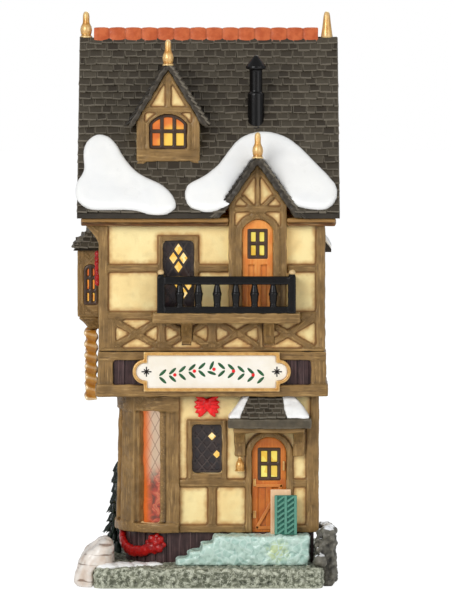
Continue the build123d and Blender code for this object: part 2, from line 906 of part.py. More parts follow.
# Porch canopy: a slab and a hipped roof up to the jetty
with BuildPart() as porch_roof:
    with BuildSketch(Plane.XY.offset(porch_z)):
        span(door_x - porch_width / 2, door_x + porch_width / 2, lower_front - porch_reach, lower_front)
    extrude(amount=porch_slab)
    with BuildSketch(Plane.XY.offset(porch_z + porch_slab)):
        span(door_x - porch_width / 2 + porch_edge, door_x + porch_width / 2 - porch_edge,
             lower_front - porch_reach + porch_edge, lower_front)
    with BuildSketch(Plane.XY.offset(jetty_z)):
        span(door_x - porch_top_width / 2, door_x + porch_top_width / 2, lower_front - porch_top_reach,
             lower_front)
    loft()
porch_roof.part.label = "porch_roof"
export_step(porch_roof.part, "parts/porch_roof.step")

# Moulding and two consoles under the canopy
console_gap = door_width / 2 + door_frame_width + fit_gap
with BuildPart() as porch_brackets:
    with BuildSketch(Plane.XY.offset(moulding_z)):
        span(door_x - moulding_width / 2, door_x + moulding_width / 2, lower_front - moulding_reach,
             lower_front)
    extrude(amount=moulding_height)
    for side in (-1, 1):
        console_x = door_x + side * (console_gap + console_width / 2)
        with BuildSketch(Plane.YZ.offset(console_x)) as console:
            foot_z = moulding_z - console_height
            with BuildLine() as edge:
                Polyline((lower_front - console_foot_reach, foot_z), (lower_front, foot_z),
                         (lower_front, moulding_z),
                         (lower_front - console_reach, moulding_z))
                ThreePointArc((lower_front - console_reach, moulding_z),
                              (lower_front - console_waist_reach,
                               moulding_z - console_height * console_waist_share),
                              (lower_front - console_foot_reach, foot_z))
            make_face()
        extrude(amount=console_width / 2, both=True)
porch_brackets.part.label = "porch_brackets"
export_step(porch_brackets.part, "parts/porch_brackets.step")

# Gilt bell under the left console
bell_x = door_x - console_gap - console_width / 2
bell_y = lower_front - bell_radius - fit_gap
bell_top = moulding_z - console_height
bell_plane = Plane(origin=(bell_x, bell_y, bell_top), x_dir=(1, 0, 0), z_dir=(0, -1, 0))
with BuildPart() as door_bell:
    with BuildSketch(bell_plane):
        with BuildLine():
            Polyline((bell_radius, -bell_height), (0, -bell_height), (0, 0), (bell_stem, 0),
                     (bell_stem, -bell_stem_height))
            waist = (bell_radius * bell_waist_share, bell_lip - bell_height)
            shoulder = (bell_radius * bell_shoulder_shares[0], -bell_height * bell_shoulder_shares[1])
            ThreePointArc((bell_stem, -bell_stem_height), shoulder, waist)
            Line(waist, (bell_radius, -bell_height))
        make_face()
    revolve(axis=Axis((bell_x, bell_y, bell_top), (0, 0, 1)))
door_bell.part.label = "door_bell"
export_step(door_bell.part, "parts/door_bell.step")

# Snow on the canopy's two ends and on the side hood
with BuildPart() as canopy_snow:
    for side, snow_foot, snow_head in [(-1, left_porch_snow_foot, left_porch_snow_head),
                                       (1, right_porch_snow_foot, right_porch_snow_head)]:
        foot_ends = sorted([door_x + side * (porch_width / 2 - porch_edge), door_x + side * snow_foot])
        head_ends = sorted([door_x + side * (porch_top_width / 2 + porch_snow_lip),
                            door_x + side * snow_head])
        with BuildSketch(Plane.XY.offset(porch_z + porch_slab)):
            span(*foot_ends, lower_front - porch_reach + porch_edge, lower_front)
        extrude(amount=porch_snow_lip)
        with BuildSketch(Plane.XY.offset(porch_z + porch_slab + porch_snow_lip)):
            span(*foot_ends, lower_front - porch_reach + porch_edge, lower_front)
        with BuildSketch(Plane.XY.offset(jetty_z)):
            span(*head_ends, lower_front - porch_top_reach - porch_snow_lip, lower_front)
        loft()
    add(porch_roof.part, mode=Mode.SUBTRACT)
    with BuildSketch(Plane.XZ.offset(-hood_y - hood_width / 2)):
        hood_eave = (upper_right + hood_reach, hood_z + hood_edge)
        hood_head = (upper_right, hood_z + hood_height)
        outline([hood_eave, hood_head, (hood_head[0], hood_head[1] + hood_snow),
                 (hood_eave[0], hood_eave[1] + hood_snow)])
    extrude(amount=hood_width)
canopy_snow.part.label = "canopy_snow"
export_step(canopy_snow.part, "parts/canopy_snow.step")

# Two boards leaning on the wall beside the door
landing_z = base_height + steps_height
lean_top_y = lower_front - door_frame_depth - fit_gap
with BuildPart() as leaning_boards:
    for number, (left, width, height) in enumerate([
            (lean_board_left, lean_board_width, lean_board_height),
            (lean_shutter_left, lean_shutter_width, lean_shutter_height)]):
        share = height / lean_board_height
        back_low = lean_top_y - lean_run - number * (lean_thick + fit_gap)
        back_high = back_low + lean_run * share
        with BuildSketch(Plane.YZ.offset(left)):
            outline([(back_low, landing_z), (back_low - lean_thick, landing_z),
                     (back_high - lean_thick, landing_z + height), (back_high, landing_z + height)])
        extrude(amount=width)
leaning_boards.part.label = "leaning_boards"
export_step(leaning_boards.part, "parts/leaning_boards.step")

# Fir tree in half relief against the left wall
tree_x = lower_left - timber_depth - tree_reach
tree_foot = (tree_x, tree_y, base_height)
with BuildPart() as fir_tree:
    with BuildSketch(Plane(origin=tree_foot, x_dir=(-1, 0, 0), z_dir=(0, 1, 0))):
        tier = (tree_height - tree_trunk_height) / tree_tiers
        edge_points = [(0, tree_height), (0, 0), (tree_trunk_radius, 0),
                       (tree_trunk_radius, tree_trunk_height)]
        for number in range(tree_tiers):
            low = tree_trunk_height + number * tier
            spread = tree_radius * (1 - number / tree_tiers)
            upper_spread = tree_radius * (1 - (number + 1) / tree_tiers) * tree_tuck_share + tree_tip
            edge_points += [(spread, low), (upper_spread, low + tier)]
        outline(edge_points)
    revolve(axis=Axis(tree_foot, (0, 0, 1)))
    with BuildSketch(Plane.XY.offset(base_height)):
        span(lower_left - timber_depth, lower_right, tree_y - overrun, tree_y + overrun)
    extrude(amount=tree_height, mode=Mode.SUBTRACT)
fir_tree.part.label = "fir_tree"
export_step(fir_tree.part, "parts/fir_tree.step")

# Boarded jetty ring that carries the upper storey
with BuildPart() as jetty_boards:
    with BuildSketch(Plane.XY.offset(jetty_z)):
        add(upper_plan(0))
        add(lower_plan(wall), mode=Mode.SUBTRACT)
    extrude(amount=jetty_height)
    board_low = jetty_z + jetty_rail_height
    board_high = upper_z - jetty_top_height
    groove_count = int((upper_right - upper_left) / board_width)
    with BuildSketch(front_upper):
        for groove in range(1, groove_count):
            with Locations((upper_left + groove * board_width, (board_low + board_high) / 2)):
                Rectangle(board_groove, board_high - board_low)
    extrude(amount=-board_groove_depth, mode=Mode.SUBTRACT)
jetty_boards.part.label = "jetty_boards"
export_step(jetty_boards.part, "parts/jetty_boards.step")

# Rails and corner stiles round the jetty
with BuildPart() as jetty_rails:
    for low, height, depth in [(jetty_z, jetty_rail_height, jetty_rail_depth),
                               (board_high, jetty_top_height, jetty_top_depth)]:
        with BuildSketch(Plane.XY.offset(low)):
            add(upper_plan(-depth))
            add(upper_plan(0), mode=Mode.SUBTRACT)
        extrude(amount=height)
    with BuildSketch(Plane.XY.offset(board_low)):
        add(upper_plan(-jetty_top_depth))
        add(upper_plan(0), mode=Mode.SUBTRACT)
        with Locations((upper_x, upper_y)):
            Rectangle(upper_right - upper_left - 2 * jetty_stile_width, upper_rear - upper_front + overrun,
                      mode=Mode.SUBTRACT)
            Rectangle(upper_right - upper_left + overrun, upper_rear - upper_front - 2 * jetty_stile_width,
                      mode=Mode.SUBTRACT)
    extrude(amount=board_high - board_low)
jetty_rails.part.label = "jetty_rails"
export_step(jetty_rails.part, "parts/jetty_rails.step")


def sign_outline(inset, mode=Mode.ADD):
    """Cartouche with straight middle and rounded, stepped ends."""
    middle = (sign_x, jetty_z + sign_foot + sign_height / 2)
    with Locations(middle):
        Rectangle(sign_flat_width - 2 * inset, sign_height - 2 * inset, mode=mode)
        SlotOverall(sign_width - 2 * inset, sign_end_height - 2 * inset, mode=mode)


sign_face = front_upper.offset(jetty_rail_depth)
# Gilt frame of the sign
with BuildPart() as sign_frame:
    with BuildSketch(sign_face):
        sign_outline(0)
        sign_outline(sign_frame_width, mode=Mode.SUBTRACT)
    extrude(amount=sign_frame_depth)
sign_frame.part.label = "sign_frame"
export_step(sign_frame.part, "parts/sign_frame.step")

# White panel of the sign
with BuildPart() as sign_board:
    with BuildSketch(sign_face):
        sign_outline(sign_frame_width)
    extrude(amount=sign_board_depth)
sign_board.part.label = "sign_board"
export_step(sign_board.part, "parts/sign_board.step")

# Upper storey walls, one cast ring
with BuildPart() as upper_storey:
    with BuildSketch(Plane.XY.offset(upper_z)):
        add(upper_plan(0))
        add(upper_plan(wall), mode=Mode.SUBTRACT)
    extrude(amount=upper_height)
    for window in upper_windows:
        window_hole(window)
    with BuildSketch(front_upper):
        span(gable_x - bay_door_width / 2, gable_x + bay_door_width / 2, floor_top,
             floor_top + bay_door_spring - wall)
    extrude(amount=-wall, mode=Mode.SUBTRACT)
    with BuildSketch(left_upper):
        span(-oriel_y - oriel_width / 2 + wall, -oriel_y + oriel_width / 2 - wall,
             oriel_z + wall, oriel_z + oriel_height - wall)
    extrude(amount=-wall, mode=Mode.SUBTRACT)
upper_storey.part.label = "upper_storey"
export_step(upper_storey.part, "parts/upper_storey.step")

# Balcony floor
with BuildPart() as balcony_floor:
    with BuildSketch(Plane.XY.offset(floor_z)):
        span(balcony_x - balcony_width / 2, balcony_x + balcony_width / 2, upper_front - balcony_reach,
             upper_front)
    extrude(amount=balcony_thick)
    chamfer(balcony_floor.faces().sort_by(Axis.Y)[0].edges().filter_by(Axis.X), fit_gap)
balcony_floor.part.label = "balcony_floor"
export_step(balcony_floor.part, "parts/balcony_floor.step")

# Two brackets under the balcony
with BuildPart() as balcony_brackets:
    for place in bracket_places:
        with BuildSketch(Plane.YZ.offset(place)):
            with BuildLine():
                Polyline((upper_front, floor_z - bracket_height), (upper_front, floor_z),
                         (upper_front - bracket_reach, floor_z))
                ThreePointArc((upper_front - bracket_reach, floor_z),
                              (upper_front - bracket_reach * bracket_waist_shares[0],
                               floor_z - bracket_height * bracket_waist_shares[1]),
                              (upper_front, floor_z - bracket_height))
            make_face()
        extrude(amount=bracket_width / 2, both=True)
balcony_brackets.part.label = "balcony_brackets"
export_step(balcony_brackets.part, "parts/balcony_brackets.step")

# Turned railing along the balcony's front
railing_y = upper_front - balcony_reach + railing_inset + post_size / 2
rail_low = floor_top + bottom_rail_height
rail_high = floor_top + railing_height - top_rail_height
railing_ends = [balcony_x + side * (railing_width - post_size) / 2 for side in (-1, 1)]


with BuildPart() as baluster:
    with BuildSketch(Plane.XZ):
        with BuildLine():
            belly_z = rail_low + (rail_high - rail_low) * baluster_belly_share
            Polyline((baluster_neck, rail_low), (0, rail_low), (0, rail_high), (baluster_neck, rail_high))
            ThreePointArc((baluster_neck, rail_high), (baluster_belly, belly_z), (baluster_neck, rail_low))
        make_face()
    revolve(axis=Axis.Z)
with BuildPart() as balcony_rail_front:
    with BuildSketch(Plane.XZ.offset(-railing_y)):
        span(*railing_ends, floor_top, rail_low)
        span(*railing_ends, rail_high, floor_top + railing_height)
    extrude(amount=railing_thick / 2, both=True)
    with BuildSketch(Plane.XY.offset(floor_top)):
        with Locations([(end, railing_y) for end in railing_ends]):
            Rectangle(post_size, post_size)
    extrude(amount=railing_height)
    with Locations([(end, railing_y, floor_top + railing_height) for end in railing_ends]):
        Sphere(knob_radius)
    baluster_step = (railing_ends[1] - railing_ends[0]) / (baluster_count + 1)
    with Locations([(railing_ends[0] + (number + 1) * baluster_step,
                     railing_y) for number in range(baluster_count)]):
        add(baluster.part)
balcony_rail_front.part.label = "balcony_rail_front"
export_step(balcony_rail_front.part, "parts/balcony_rail_front.step")

# Short railings back to the wall at both ends
with BuildPart() as balcony_rail_ends:
    return_front = railing_y + post_size / 2
    return_y = (return_front + upper_front - timber_depth) / 2
    for end in railing_ends:
        with BuildSketch(Plane.YZ.offset(end)):
            span(return_front, upper_front - timber_depth, floor_top, rail_low)
            span(return_front, upper_front - timber_depth, rail_high, floor_top + railing_height)
        extrude(amount=railing_thick / 2, both=True)
        with Locations((end, return_y)):
            add(baluster.part)
balcony_rail_ends.part.label = "balcony_rail_ends"
export_step(balcony_rail_ends.part, "parts/balcony_rail_ends.step")

# Solids under the main roof, outside and inside, that shape what meets it
with BuildPart() as roof_fill:
    with BuildSketch(Plane.YZ.offset(roof_left)):
        outline([(-roof_run, 0), (-roof_run, eave_z + roof_edge), (0, roof_apex),
                 (roof_run, eave_z + roof_edge),
                 (roof_run, 0)])
    extrude(amount=roof_length)
with BuildPart() as attic_fill:
    with BuildSketch(Plane.YZ.offset(roof_left)):
        outline([(-roof_inner_half, eave_z), (0, roof_apex - roof_drop), (roof_inner_half, eave_z)])
    extrude(amount=roof_length)

# Cornice under the eaves, broken by the gabled bay
with BuildPart() as eaves_cornice:
    for side in (-1, 1):
        band = (upper_top + eave_z) / 2
        wall_y = side * (upper_rear - upper_front) / 2 + upper_y
        with BuildSketch(Plane.YZ.offset(roof_left + cornice_end)):
            outline([(wall_y - side * wall, upper_top), (wall_y + side * cornice_lower_reach, upper_top),
                     (wall_y + side * cornice_lower_reach, band), (wall_y + side * cornice_upper_reach, band),
                     (wall_y + side * cornice_upper_reach, eave_z), (wall_y - side * wall, eave_z)])
        extrude(amount=roof_length - 2 * cornice_end)
    with BuildSketch(front_upper):
        span(gable_x - gable_wall_half, gable_x + gable_wall_half, upper_top, eave_z)
    extrude(amount=overrun, both=True, mode=Mode.SUBTRACT)
eaves_cornice.part.label = "eaves_cornice"
export_step(eaves_cornice.part, "parts/eaves_cornice.step")

# Triangular attic walls at both ends
attic_half = (upper_rear - upper_front) / 2 - wall
attic_points = [(-attic_half, upper_top), (attic_half, upper_top), (attic_half, eave_z),
                (roof_inner_half, eave_z),
                (0, roof_apex - roof_drop), (-roof_inner_half, eave_z), (-attic_half, eave_z)]
with BuildPart() as attic_gables:
    for plane in (left_upper, right_upper):
        with BuildSketch(plane):
            outline(attic_points)
        extrude(amount=-wall)
    for window in attic_windows:
        window_hole(window)
attic_gables.part.label = "attic_gables"
export_step(attic_gables.part, "parts/attic_gables.step")

# Main roof, two pitched slabs with openings behind the dormer and the bay
with BuildPart() as main_roof:
    with BuildSketch(Plane.YZ.offset(roof_left)):
        outline([(-roof_run, eave_z), (-roof_run, eave_z + roof_edge), (-roof_flat, ridge_z),
                 (roof_flat, ridge_z),
                 (roof_run, eave_z + roof_edge), (roof_run, eave_z), (roof_inner_half, eave_z),
                 (0, roof_apex - roof_drop), (-roof_inner_half, eave_z)])
    extrude(amount=roof_length)
    with BuildSketch(front_upper):
        outline(vee_outer(gable_x, gable_half, eave_z, gable_rise))
    extrude(amount=overrun, mode=Mode.SUBTRACT)
    with BuildSketch(front_upper):
        outline(vee_outer(gable_x, gable_half, eave_z, gable_rise))
    extrude(amount=upper_front, mode=Mode.SUBTRACT)
    with BuildSketch(dormer_face):
        light_foot = roof_height(dormer_front) + dormer_wall
        span(dormer_x - dormer_light_width / 2, dormer_x + dormer_light_width / 2, light_foot, dormer_z)
    extrude(amount=-dormer_front, mode=Mode.SUBTRACT)
main_roof.part.label = "main_roof"
export_step(main_roof.part, "parts/main_roof.step")

# Row of ridge tiles
with BuildPart() as ridge_tiles:
    tile_step = ridge_row_length / ridge_tile_count
    tile_foot = roof_apex - ridge_tile_half * roof_slope
    for number in range(ridge_tile_count):
        with BuildSketch(Plane.YZ.offset(ridge_row_left + number * tile_step)):
            outline([(-ridge_tile_half, tile_foot), (-ridge_tile_half, tile_foot + ridge_tile_lip),
                     (-ridge_tile_crown, ridge_z + ridge_tile_rise),
                     (ridge_tile_crown, ridge_z + ridge_tile_rise),
                     (ridge_tile_half, tile_foot + ridge_tile_lip), (ridge_tile_half, tile_foot),
                     (roof_flat, ridge_z), (-roof_flat, ridge_z)])
        extrude(amount=tile_step - ridge_tile_gap)
ridge_tiles.part.label = "ridge_tiles"
export_step(ridge_tiles.part, "parts/ridge_tiles.step")

# Slabs of the bay's own roof, run back into the main roof
with BuildPart() as gable_roof:
    with BuildSketch(facing(0, -gable_front, (0, -1, 0))):
        outline(vee_slab(gable_x, gable_half, eave_z, gable_rise, gable_thick))
    extrude(amount=-gable_front)
    add(attic_fill.part, mode=Mode.SUBTRACT)
gable_roof.part.label = "gable_roof"
export_step(gable_roof.part, "parts/gable_roof.step")

# Wall of the gabled bay, from the balcony floor to its apex
gable_slope = gable_rise / gable_half
bay_apex = vee_apex(gable_half, eave_z, gable_rise, gable_thick)
bay_outline = gable_face(gable_x, gable_wall_half, floor_top, bay_apex, gable_slope)
with BuildPart() as gable_wall:
    with BuildSketch(front_upper):
        outline(bay_outline)
        arched(gable_x, bay_door_width, floor_top, floor_top + bay_door_spring, bay_door_rise,
               mode=Mode.SUBTRACT)
    extrude(amount=gable_wall_depth)
gable_wall.part.label = "gable_wall"
export_step(gable_wall.part, "parts/gable_wall.step")

# Posts, bargeboards, collar, fan struts and door casing of the bay
bay_side = bay_apex - gable_wall_half * gable_slope
collar_z = floor_top + bay_door_spring + bay_door_rise + gable_collar_foot
barge_drop = gable_barge / cos(atan2(gable_rise, gable_half))
with BuildPart() as gable_timbers:
    with BuildSketch(bay_face):
        outline(bay_outline)
        outline(gable_face(gable_x, gable_wall_half - gable_post, floor_top, bay_apex - barge_drop,
                           gable_slope),
                mode=Mode.SUBTRACT)
        span(gable_x - gable_wall_half, gable_x + gable_wall_half, collar_z, collar_z + gable_collar_height)
        span(gable_x - gable_king / 2, gable_x + gable_king / 2, collar_z, bay_apex - barge_drop)
        for side in (-1, 1):
            brace((gable_x, collar_z), (gable_x + side * gable_fan_spread, collar_z + gable_fan_spread),
                  gable_king)
        arched(gable_x, bay_door_width + 2 * bay_frame_width, floor_top, floor_top + bay_door_spring,
               bay_door_rise + bay_frame_width)
        outline(bay_outline, mode=Mode.INTERSECT)
        arched(gable_x, bay_door_width, floor_top, floor_top + bay_door_spring, bay_door_rise,
               mode=Mode.SUBTRACT)
    extrude(amount=timber_depth)
gable_timbers.part.label = "gable_timbers"
export_step(gable_timbers.part, "parts/gable_timbers.step")

# Balcony door leaf
with BuildPart() as balcony_door:
    door_leaf(bay_face, gable_x, bay_door_width, floor_top, floor_top + bay_door_spring, bay_door_rise,
              bay_light_width, bay_light_height, bay_light_foot)
balcony_door.part.label = "balcony_door"
export_step(balcony_door.part, "parts/balcony_door.step")

# Timber framing on the upper walls and attic gables, with verge boards and a knee under the eaves
upper_rail_z = upper_z + upper_rail_height
floor_rail_z = floor_top - rail_width


def storey_frame(left, right):
    """Sill, rails and corner posts of one upper wall."""
    span(left, right, upper_z, upper_z + edge_rail_width)
    span(left, right, floor_rail_z, floor_top)
    span(left, right, upper_rail_z, upper_rail_z + rail_width)
    span(left, left + post_width, upper_z, upper_top)
    span(right - post_width, right, upper_z, upper_top)


def head_rail(left, right):
    """Rail under the cornice of a side or rear wall."""
    span(left, right, upper_top - edge_rail_width, upper_top)


def cross_bays(left, right, low, high):
    """Crossed braces between posts along one wall."""
    step = (right - left) / brace_bays
    for bay in range(brace_bays):
        start = left + bay * step
        brace((start, low), (start + step, high), brace_width)
        brace((start, high), (start + step, low), brace_width)
        with Locations((start, (low + high) / 2)):
            Rectangle(stud_width, high - low)


def attic_frame(window):
    """Border, collar and king post of one attic gable."""
    plane, middle, foot, width, height = window
    head = foot + height + frame_width
    drop = timber_band / cos(roof_pitch)
    with BuildSketch(plane) as frame:
        outline(attic_points)
        outline([(-roof_inner_half + timber_band, eave_z + rail_width),
                 (roof_inner_half - timber_band, eave_z + rail_width),
                 (0, roof_apex - roof_drop - drop)], mode=Mode.SUBTRACT)
        span(-stud_width / 2, stud_width / 2, upper_top, roof_apex - roof_drop - drop)
        span(-roof_inner_half, roof_inner_half, head, head + rail_width)
        for side in (-1, 1):
            brace((side * width, eave_z), (side * width * 2, head), brace_width)
        window_frame(window)
        outline(attic_points, mode=Mode.INTERSECT)
        window_void(window)
    extrude(frame.sketch, amount=timber_depth)


timber_band = rail_width + timber_depth
balcony_left = balcony_x - balcony_width / 2
balcony_right = balcony_x + balcony_width / 2
oriel_half = oriel_width / 2 + oriel_eave
with BuildPart() as upper_timbers:
    with BuildSketch(front_upper):
        storey_frame(upper_left - timber_depth, upper_right + timber_depth)
        cross_bays(upper_left + post_width, upper_right - post_width, upper_z + edge_rail_width, floor_rail_z)
        window_frame(upper_windows[0])
        window_void(upper_windows[0])
        span(balcony_left, balcony_right, floor_z, floor_top, mode=Mode.SUBTRACT)
        span(gable_x - gable_wall_half, gable_x + gable_wall_half, floor_top, eave_z, mode=Mode.SUBTRACT)
        for place in bracket_places:
            span(place - bracket_width / 2, place + bracket_width / 2, floor_z - bracket_height, floor_z,
                 mode=Mode.SUBTRACT)
    extrude(amount=timber_depth)
    with BuildSketch(right_upper):
        storey_frame(upper_front, upper_rear)
        head_rail(upper_front, upper_rear)
        cross_bays(upper_front + post_width, upper_rear - post_width, upper_z + edge_rail_width, floor_rail_z)
        window_frame(upper_windows[1])
        window_void(upper_windows[1])
        span(hood_y - hood_width / 2, hood_y + hood_width / 2, hood_z, hood_z + hood_height + hood_snow,
             mode=Mode.SUBTRACT)
    extrude(amount=timber_depth)
    with BuildSketch(left_upper):
        storey_frame(-upper_rear, -upper_front)
        head_rail(-upper_rear, -upper_front)
        cross_bays(-upper_rear + post_width, -upper_front - post_width, upper_z + edge_rail_width, floor_rail_z)
        span(-oriel_y - oriel_half, -oriel_y + oriel_half, oriel_z - oriel_corbel_height,
             oriel_z + oriel_height + oriel_roof_height, mode=Mode.SUBTRACT)
    extrude(amount=timber_depth)
    with BuildSketch(rear_upper):
        storey_frame(-upper_right - timber_depth, -upper_left + timber_depth)
        head_rail(-upper_right - timber_depth, -upper_left + timber_depth)
        cross_bays(-upper_right + post_width, -upper_left - post_width, upper_z + edge_rail_width, floor_rail_z)
        for window in upper_windows[2:]:
            window_frame(window)
            window_void(window)
    extrude(amount=timber_depth)
    for window in attic_windows:
        attic_frame(window)
    with BuildSketch(front_upper.offset(timber_depth)):
        knee_foot = upper_top - knee_drop
        with BuildLine():
            Polyline((upper_left, knee_foot), (upper_left, upper_top), (upper_left - knee_reach, upper_top))
            ThreePointArc((upper_left - knee_reach, upper_top),
                          (upper_left - knee_reach * knee_waist_shares[0],
                           upper_top - knee_drop * knee_waist_shares[1]), (upper_left, knee_foot))
        make_face()
    extrude(amount=-knee_depth)
    for end in (roof_left + verge_inset, roof_right - verge_inset - verge_thick):
        with BuildSketch(Plane.YZ.offset(end)):
            inner = roof_inner_half - verge_depth / roof_slope
            outline([(-roof_inner_half, eave_z), (0, roof_apex - roof_drop), (roof_inner_half, eave_z),
                     (inner, eave_z), (0, roof_apex - roof_drop - verge_depth), (-inner, eave_z)])
        extrude(amount=verge_thick)
upper_timbers.part.label = "upper_timbers"
export_step(upper_timbers.part, "parts/upper_timbers.step")


def turned_finial(height, radius):
    """One gilt finial standing on the origin."""
    with BuildPart() as turned:
        with BuildSketch(Plane.XZ):
            points = [(across * radius, up * height) for across, up in finial_shares]
            outline([(0, 0)] + points + [(0, height)])
        revolve(axis=Axis.Z)
    return turned.part


# Gilt finials on both ridge ends, the bay and the dormer
tall_finial = turned_finial(finial_height, finial_radius)
small_finial = turned_finial(small_finial_height, small_finial_radius)
gable_top = vee_outer(gable_x, gable_half, eave_z, gable_rise)[1][1]
dormer_top = vee_outer(dormer_x, dormer_half, dormer_z, dormer_rise)[1][1]
dormer_roof_front = dormer_front + dormer_overhang
with BuildPart() as finials:
    with Locations((left_finial_x, 0, ridge_z), (right_finial_x, 0, ridge_z)):
        add(tall_finial)
    with Locations((gable_x, finial_setback - gable_front, gable_top),
                   (dormer_x, finial_setback - dormer_roof_front, dormer_top)):
        add(small_finial)
finials.part.label = "finials"
export_step(finials.part, "parts/finials.step")

# Dormer: hollow walls standing on the main roof
dormer_slope = dormer_rise / dormer_half
dormer_apex = vee_apex(dormer_half, dormer_z, dormer_rise, dormer_thick)
dormer_outline = gable_face(dormer_x, dormer_wall_half, eave_z, dormer_apex, dormer_slope)
dormer_light_z = dormer_z - dormer_light_drop
with BuildPart() as dormer_walls:
    with BuildSketch(dormer_face):
        outline(dormer_outline)
    extrude(amount=-dormer_front)
    with BuildSketch(dormer_face.offset(-dormer_wall)):
        outline(gable_face(dormer_x, dormer_wall_half - dormer_wall, eave_z,
                           dormer_apex - dormer_wall / cos(atan2(dormer_rise, dormer_half)), dormer_slope))
    extrude(amount=-dormer_front, mode=Mode.SUBTRACT)
    with BuildSketch(dormer_face):
        arched(dormer_x, dormer_light_width, dormer_light_z, dormer_light_z + dormer_light_spring,
               dormer_light_rise)
    extrude(amount=-dormer_wall, mode=Mode.SUBTRACT)
    add(roof_fill.part, mode=Mode.SUBTRACT)
dormer_walls.part.label = "dormer_walls"
export_step(dormer_walls.part, "parts/dormer_walls.step")

# Dormer roof
with BuildPart() as dormer_roof:
    with BuildSketch(facing(0, -dormer_roof_front, (0, -1, 0))):
        outline(vee_slab(dormer_x, dormer_half, dormer_z, dormer_rise, dormer_thick))
    extrude(amount=-dormer_roof_front)
    add(roof_fill.part, mode=Mode.SUBTRACT)
dormer_roof.part.label = "dormer_roof"
export_step(dormer_roof.part, "parts/dormer_roof.step")

# Dormer bargeboards, king post, collar and window casing
with BuildPart() as dormer_timbers:
    with BuildSketch(dormer_face):
        drop = dormer_barge / cos(atan2(dormer_rise, dormer_half))
        dormer_collar_z = dormer_z + dormer_collar_rise
        outline(dormer_outline)
        outline(gable_face(dormer_x, dormer_wall_half - dormer_post, eave_z, dormer_apex - drop,
                           dormer_slope),
                mode=Mode.SUBTRACT)
        span(dormer_x - dormer_wall_half, dormer_x + dormer_wall_half, dormer_collar_z,
             dormer_collar_z + dormer_collar)
        span(dormer_x - dormer_king / 2, dormer_x + dormer_king / 2, dormer_collar_z, dormer_apex - drop)
        span(dormer_x - dormer_wall_half, dormer_x + dormer_wall_half, roof_height(dormer_front),
             dormer_light_z)
        arched(dormer_x, dormer_light_width + 2 * dormer_frame, dormer_light_z - dormer_frame,
               dormer_light_z + dormer_light_spring, dormer_light_rise + dormer_frame)
        outline(dormer_outline, mode=Mode.INTERSECT)
        arched(dormer_x, dormer_light_width, dormer_light_z, dormer_light_z + dormer_light_spring,
               dormer_light_rise,
               mode=Mode.SUBTRACT)
    extrude(amount=timber_depth)
    add(roof_fill.part, mode=Mode.SUBTRACT)
dormer_timbers.part.label = "dormer_timbers"
export_step(dormer_timbers.part, "parts/dormer_timbers.step")

# Black flue with a sleeve and a conical cap
flue_foot = (flue_x, flue_y, eave_z)
with BuildPart() as flue_pipe:
    with BuildSketch(Plane(origin=flue_foot, x_dir=(1, 0, 0), z_dir=(0, -1, 0))):
        cap_foot = flue_top + flue_cap_rim
        outline([(0, 0), (flue_sleeve_radius, 0), (flue_sleeve_radius, flue_sleeve_top),
                 (flue_radius, flue_sleeve_top),
                 (flue_radius, flue_top), (flue_cap_radius, flue_top), (flue_cap_radius, cap_foot),
                 (flue_cap_rim / 2, flue_top + flue_cap_height), (0, flue_top + flue_cap_height)])
    revolve(axis=Axis(flue_foot, (0, 0, 1)))
    add(roof_fill.part, mode=Mode.SUBTRACT)
flue_pipe.part.label = "flue_pipe"
export_step(flue_pipe.part, "parts/flue_pipe.step")

# Drifts of snow on the front slope, the right one lying over the bay's roof
front_slope = Plane(origin=(0, -roof_run, eave_z + roof_edge), x_dir=(1, 0, 0),
                    z_dir=(0, -sin(roof_pitch), cos(roof_pitch)))


def drift(left, width, foot, height, shares):
    """One drift on the front slope with a rounded rim."""
    with BuildPart() as heap:
        with BuildSketch(front_slope):
            with BuildLine():
                Spline(*[(left + across * width, foot + up * height) for across, up in shares], periodic=True)
            make_face()
        extrude(amount=snow_thick)
        fillet(heap.faces().sort_by(Axis(front_slope.origin, front_slope.z_dir))[-1].edges(), snow_round)
    return heap.part


with BuildPart() as roof_snow:
    add(drift(left_snow_left, left_snow_width, left_snow_foot, left_snow_height, left_snow_shares))
    add(drift(right_snow_left, right_snow_width, right_snow_foot, right_snow_height, right_snow_shares))
    with BuildSketch(facing(0, -gable_front, (0, -1, 0))):
        outline(vee_outer(gable_x, gable_half, eave_z, gable_rise))
    extrude(amount=-gable_front, mode=Mode.SUBTRACT)
roof_snow.part.label = "roof_snow"
export_step(roof_snow.part, "parts/roof_snow.step")

# Oriel: hollow bay on the left wall
oriel_left = upper_left - oriel_reach
oriel_ends = (oriel_y - oriel_width / 2, oriel_y + oriel_width / 2)
oriel_top = oriel_z + oriel_height
with BuildPart() as oriel_walls:
    with BuildSketch(Plane.XY.offset(oriel_z)):
        span(oriel_left, upper_left, *oriel_ends)
        span(oriel_left + oriel_wall, upper_left, oriel_ends[0] + oriel_wall, oriel_ends[1] - oriel_wall,
             mode=Mode.SUBTRACT)
    extrude(amount=oriel_height)
    for plane, middle in oriel_openings:
        with BuildSketch(plane):
            arched(middle, oriel_light_width, oriel_z + oriel_light_foot,
                   oriel_z + oriel_light_foot + oriel_light_spring, oriel_light_rise)
        extrude(amount=-oriel_wall, mode=Mode.SUBTRACT)
oriel_walls.part.label = "oriel_walls"
export_step(oriel_walls.part, "parts/oriel_walls.step")

# Hipped roof of the oriel
with BuildPart() as oriel_roof:
    with BuildSketch(Plane.XY.offset(oriel_top)):
        span(oriel_left - oriel_eave, upper_left, oriel_ends[0] - oriel_eave, oriel_ends[1] + oriel_eave)
    with BuildSketch(Plane.XY.offset(oriel_top + oriel_roof_height)):
        with Locations((upper_left - oriel_top_reach / 2, oriel_y)):
            Rectangle(oriel_top_reach, oriel_width * oriel_top_share)
    loft()
oriel_roof.part.label = "oriel_roof"
export_step(oriel_roof.part, "parts/oriel_roof.step")

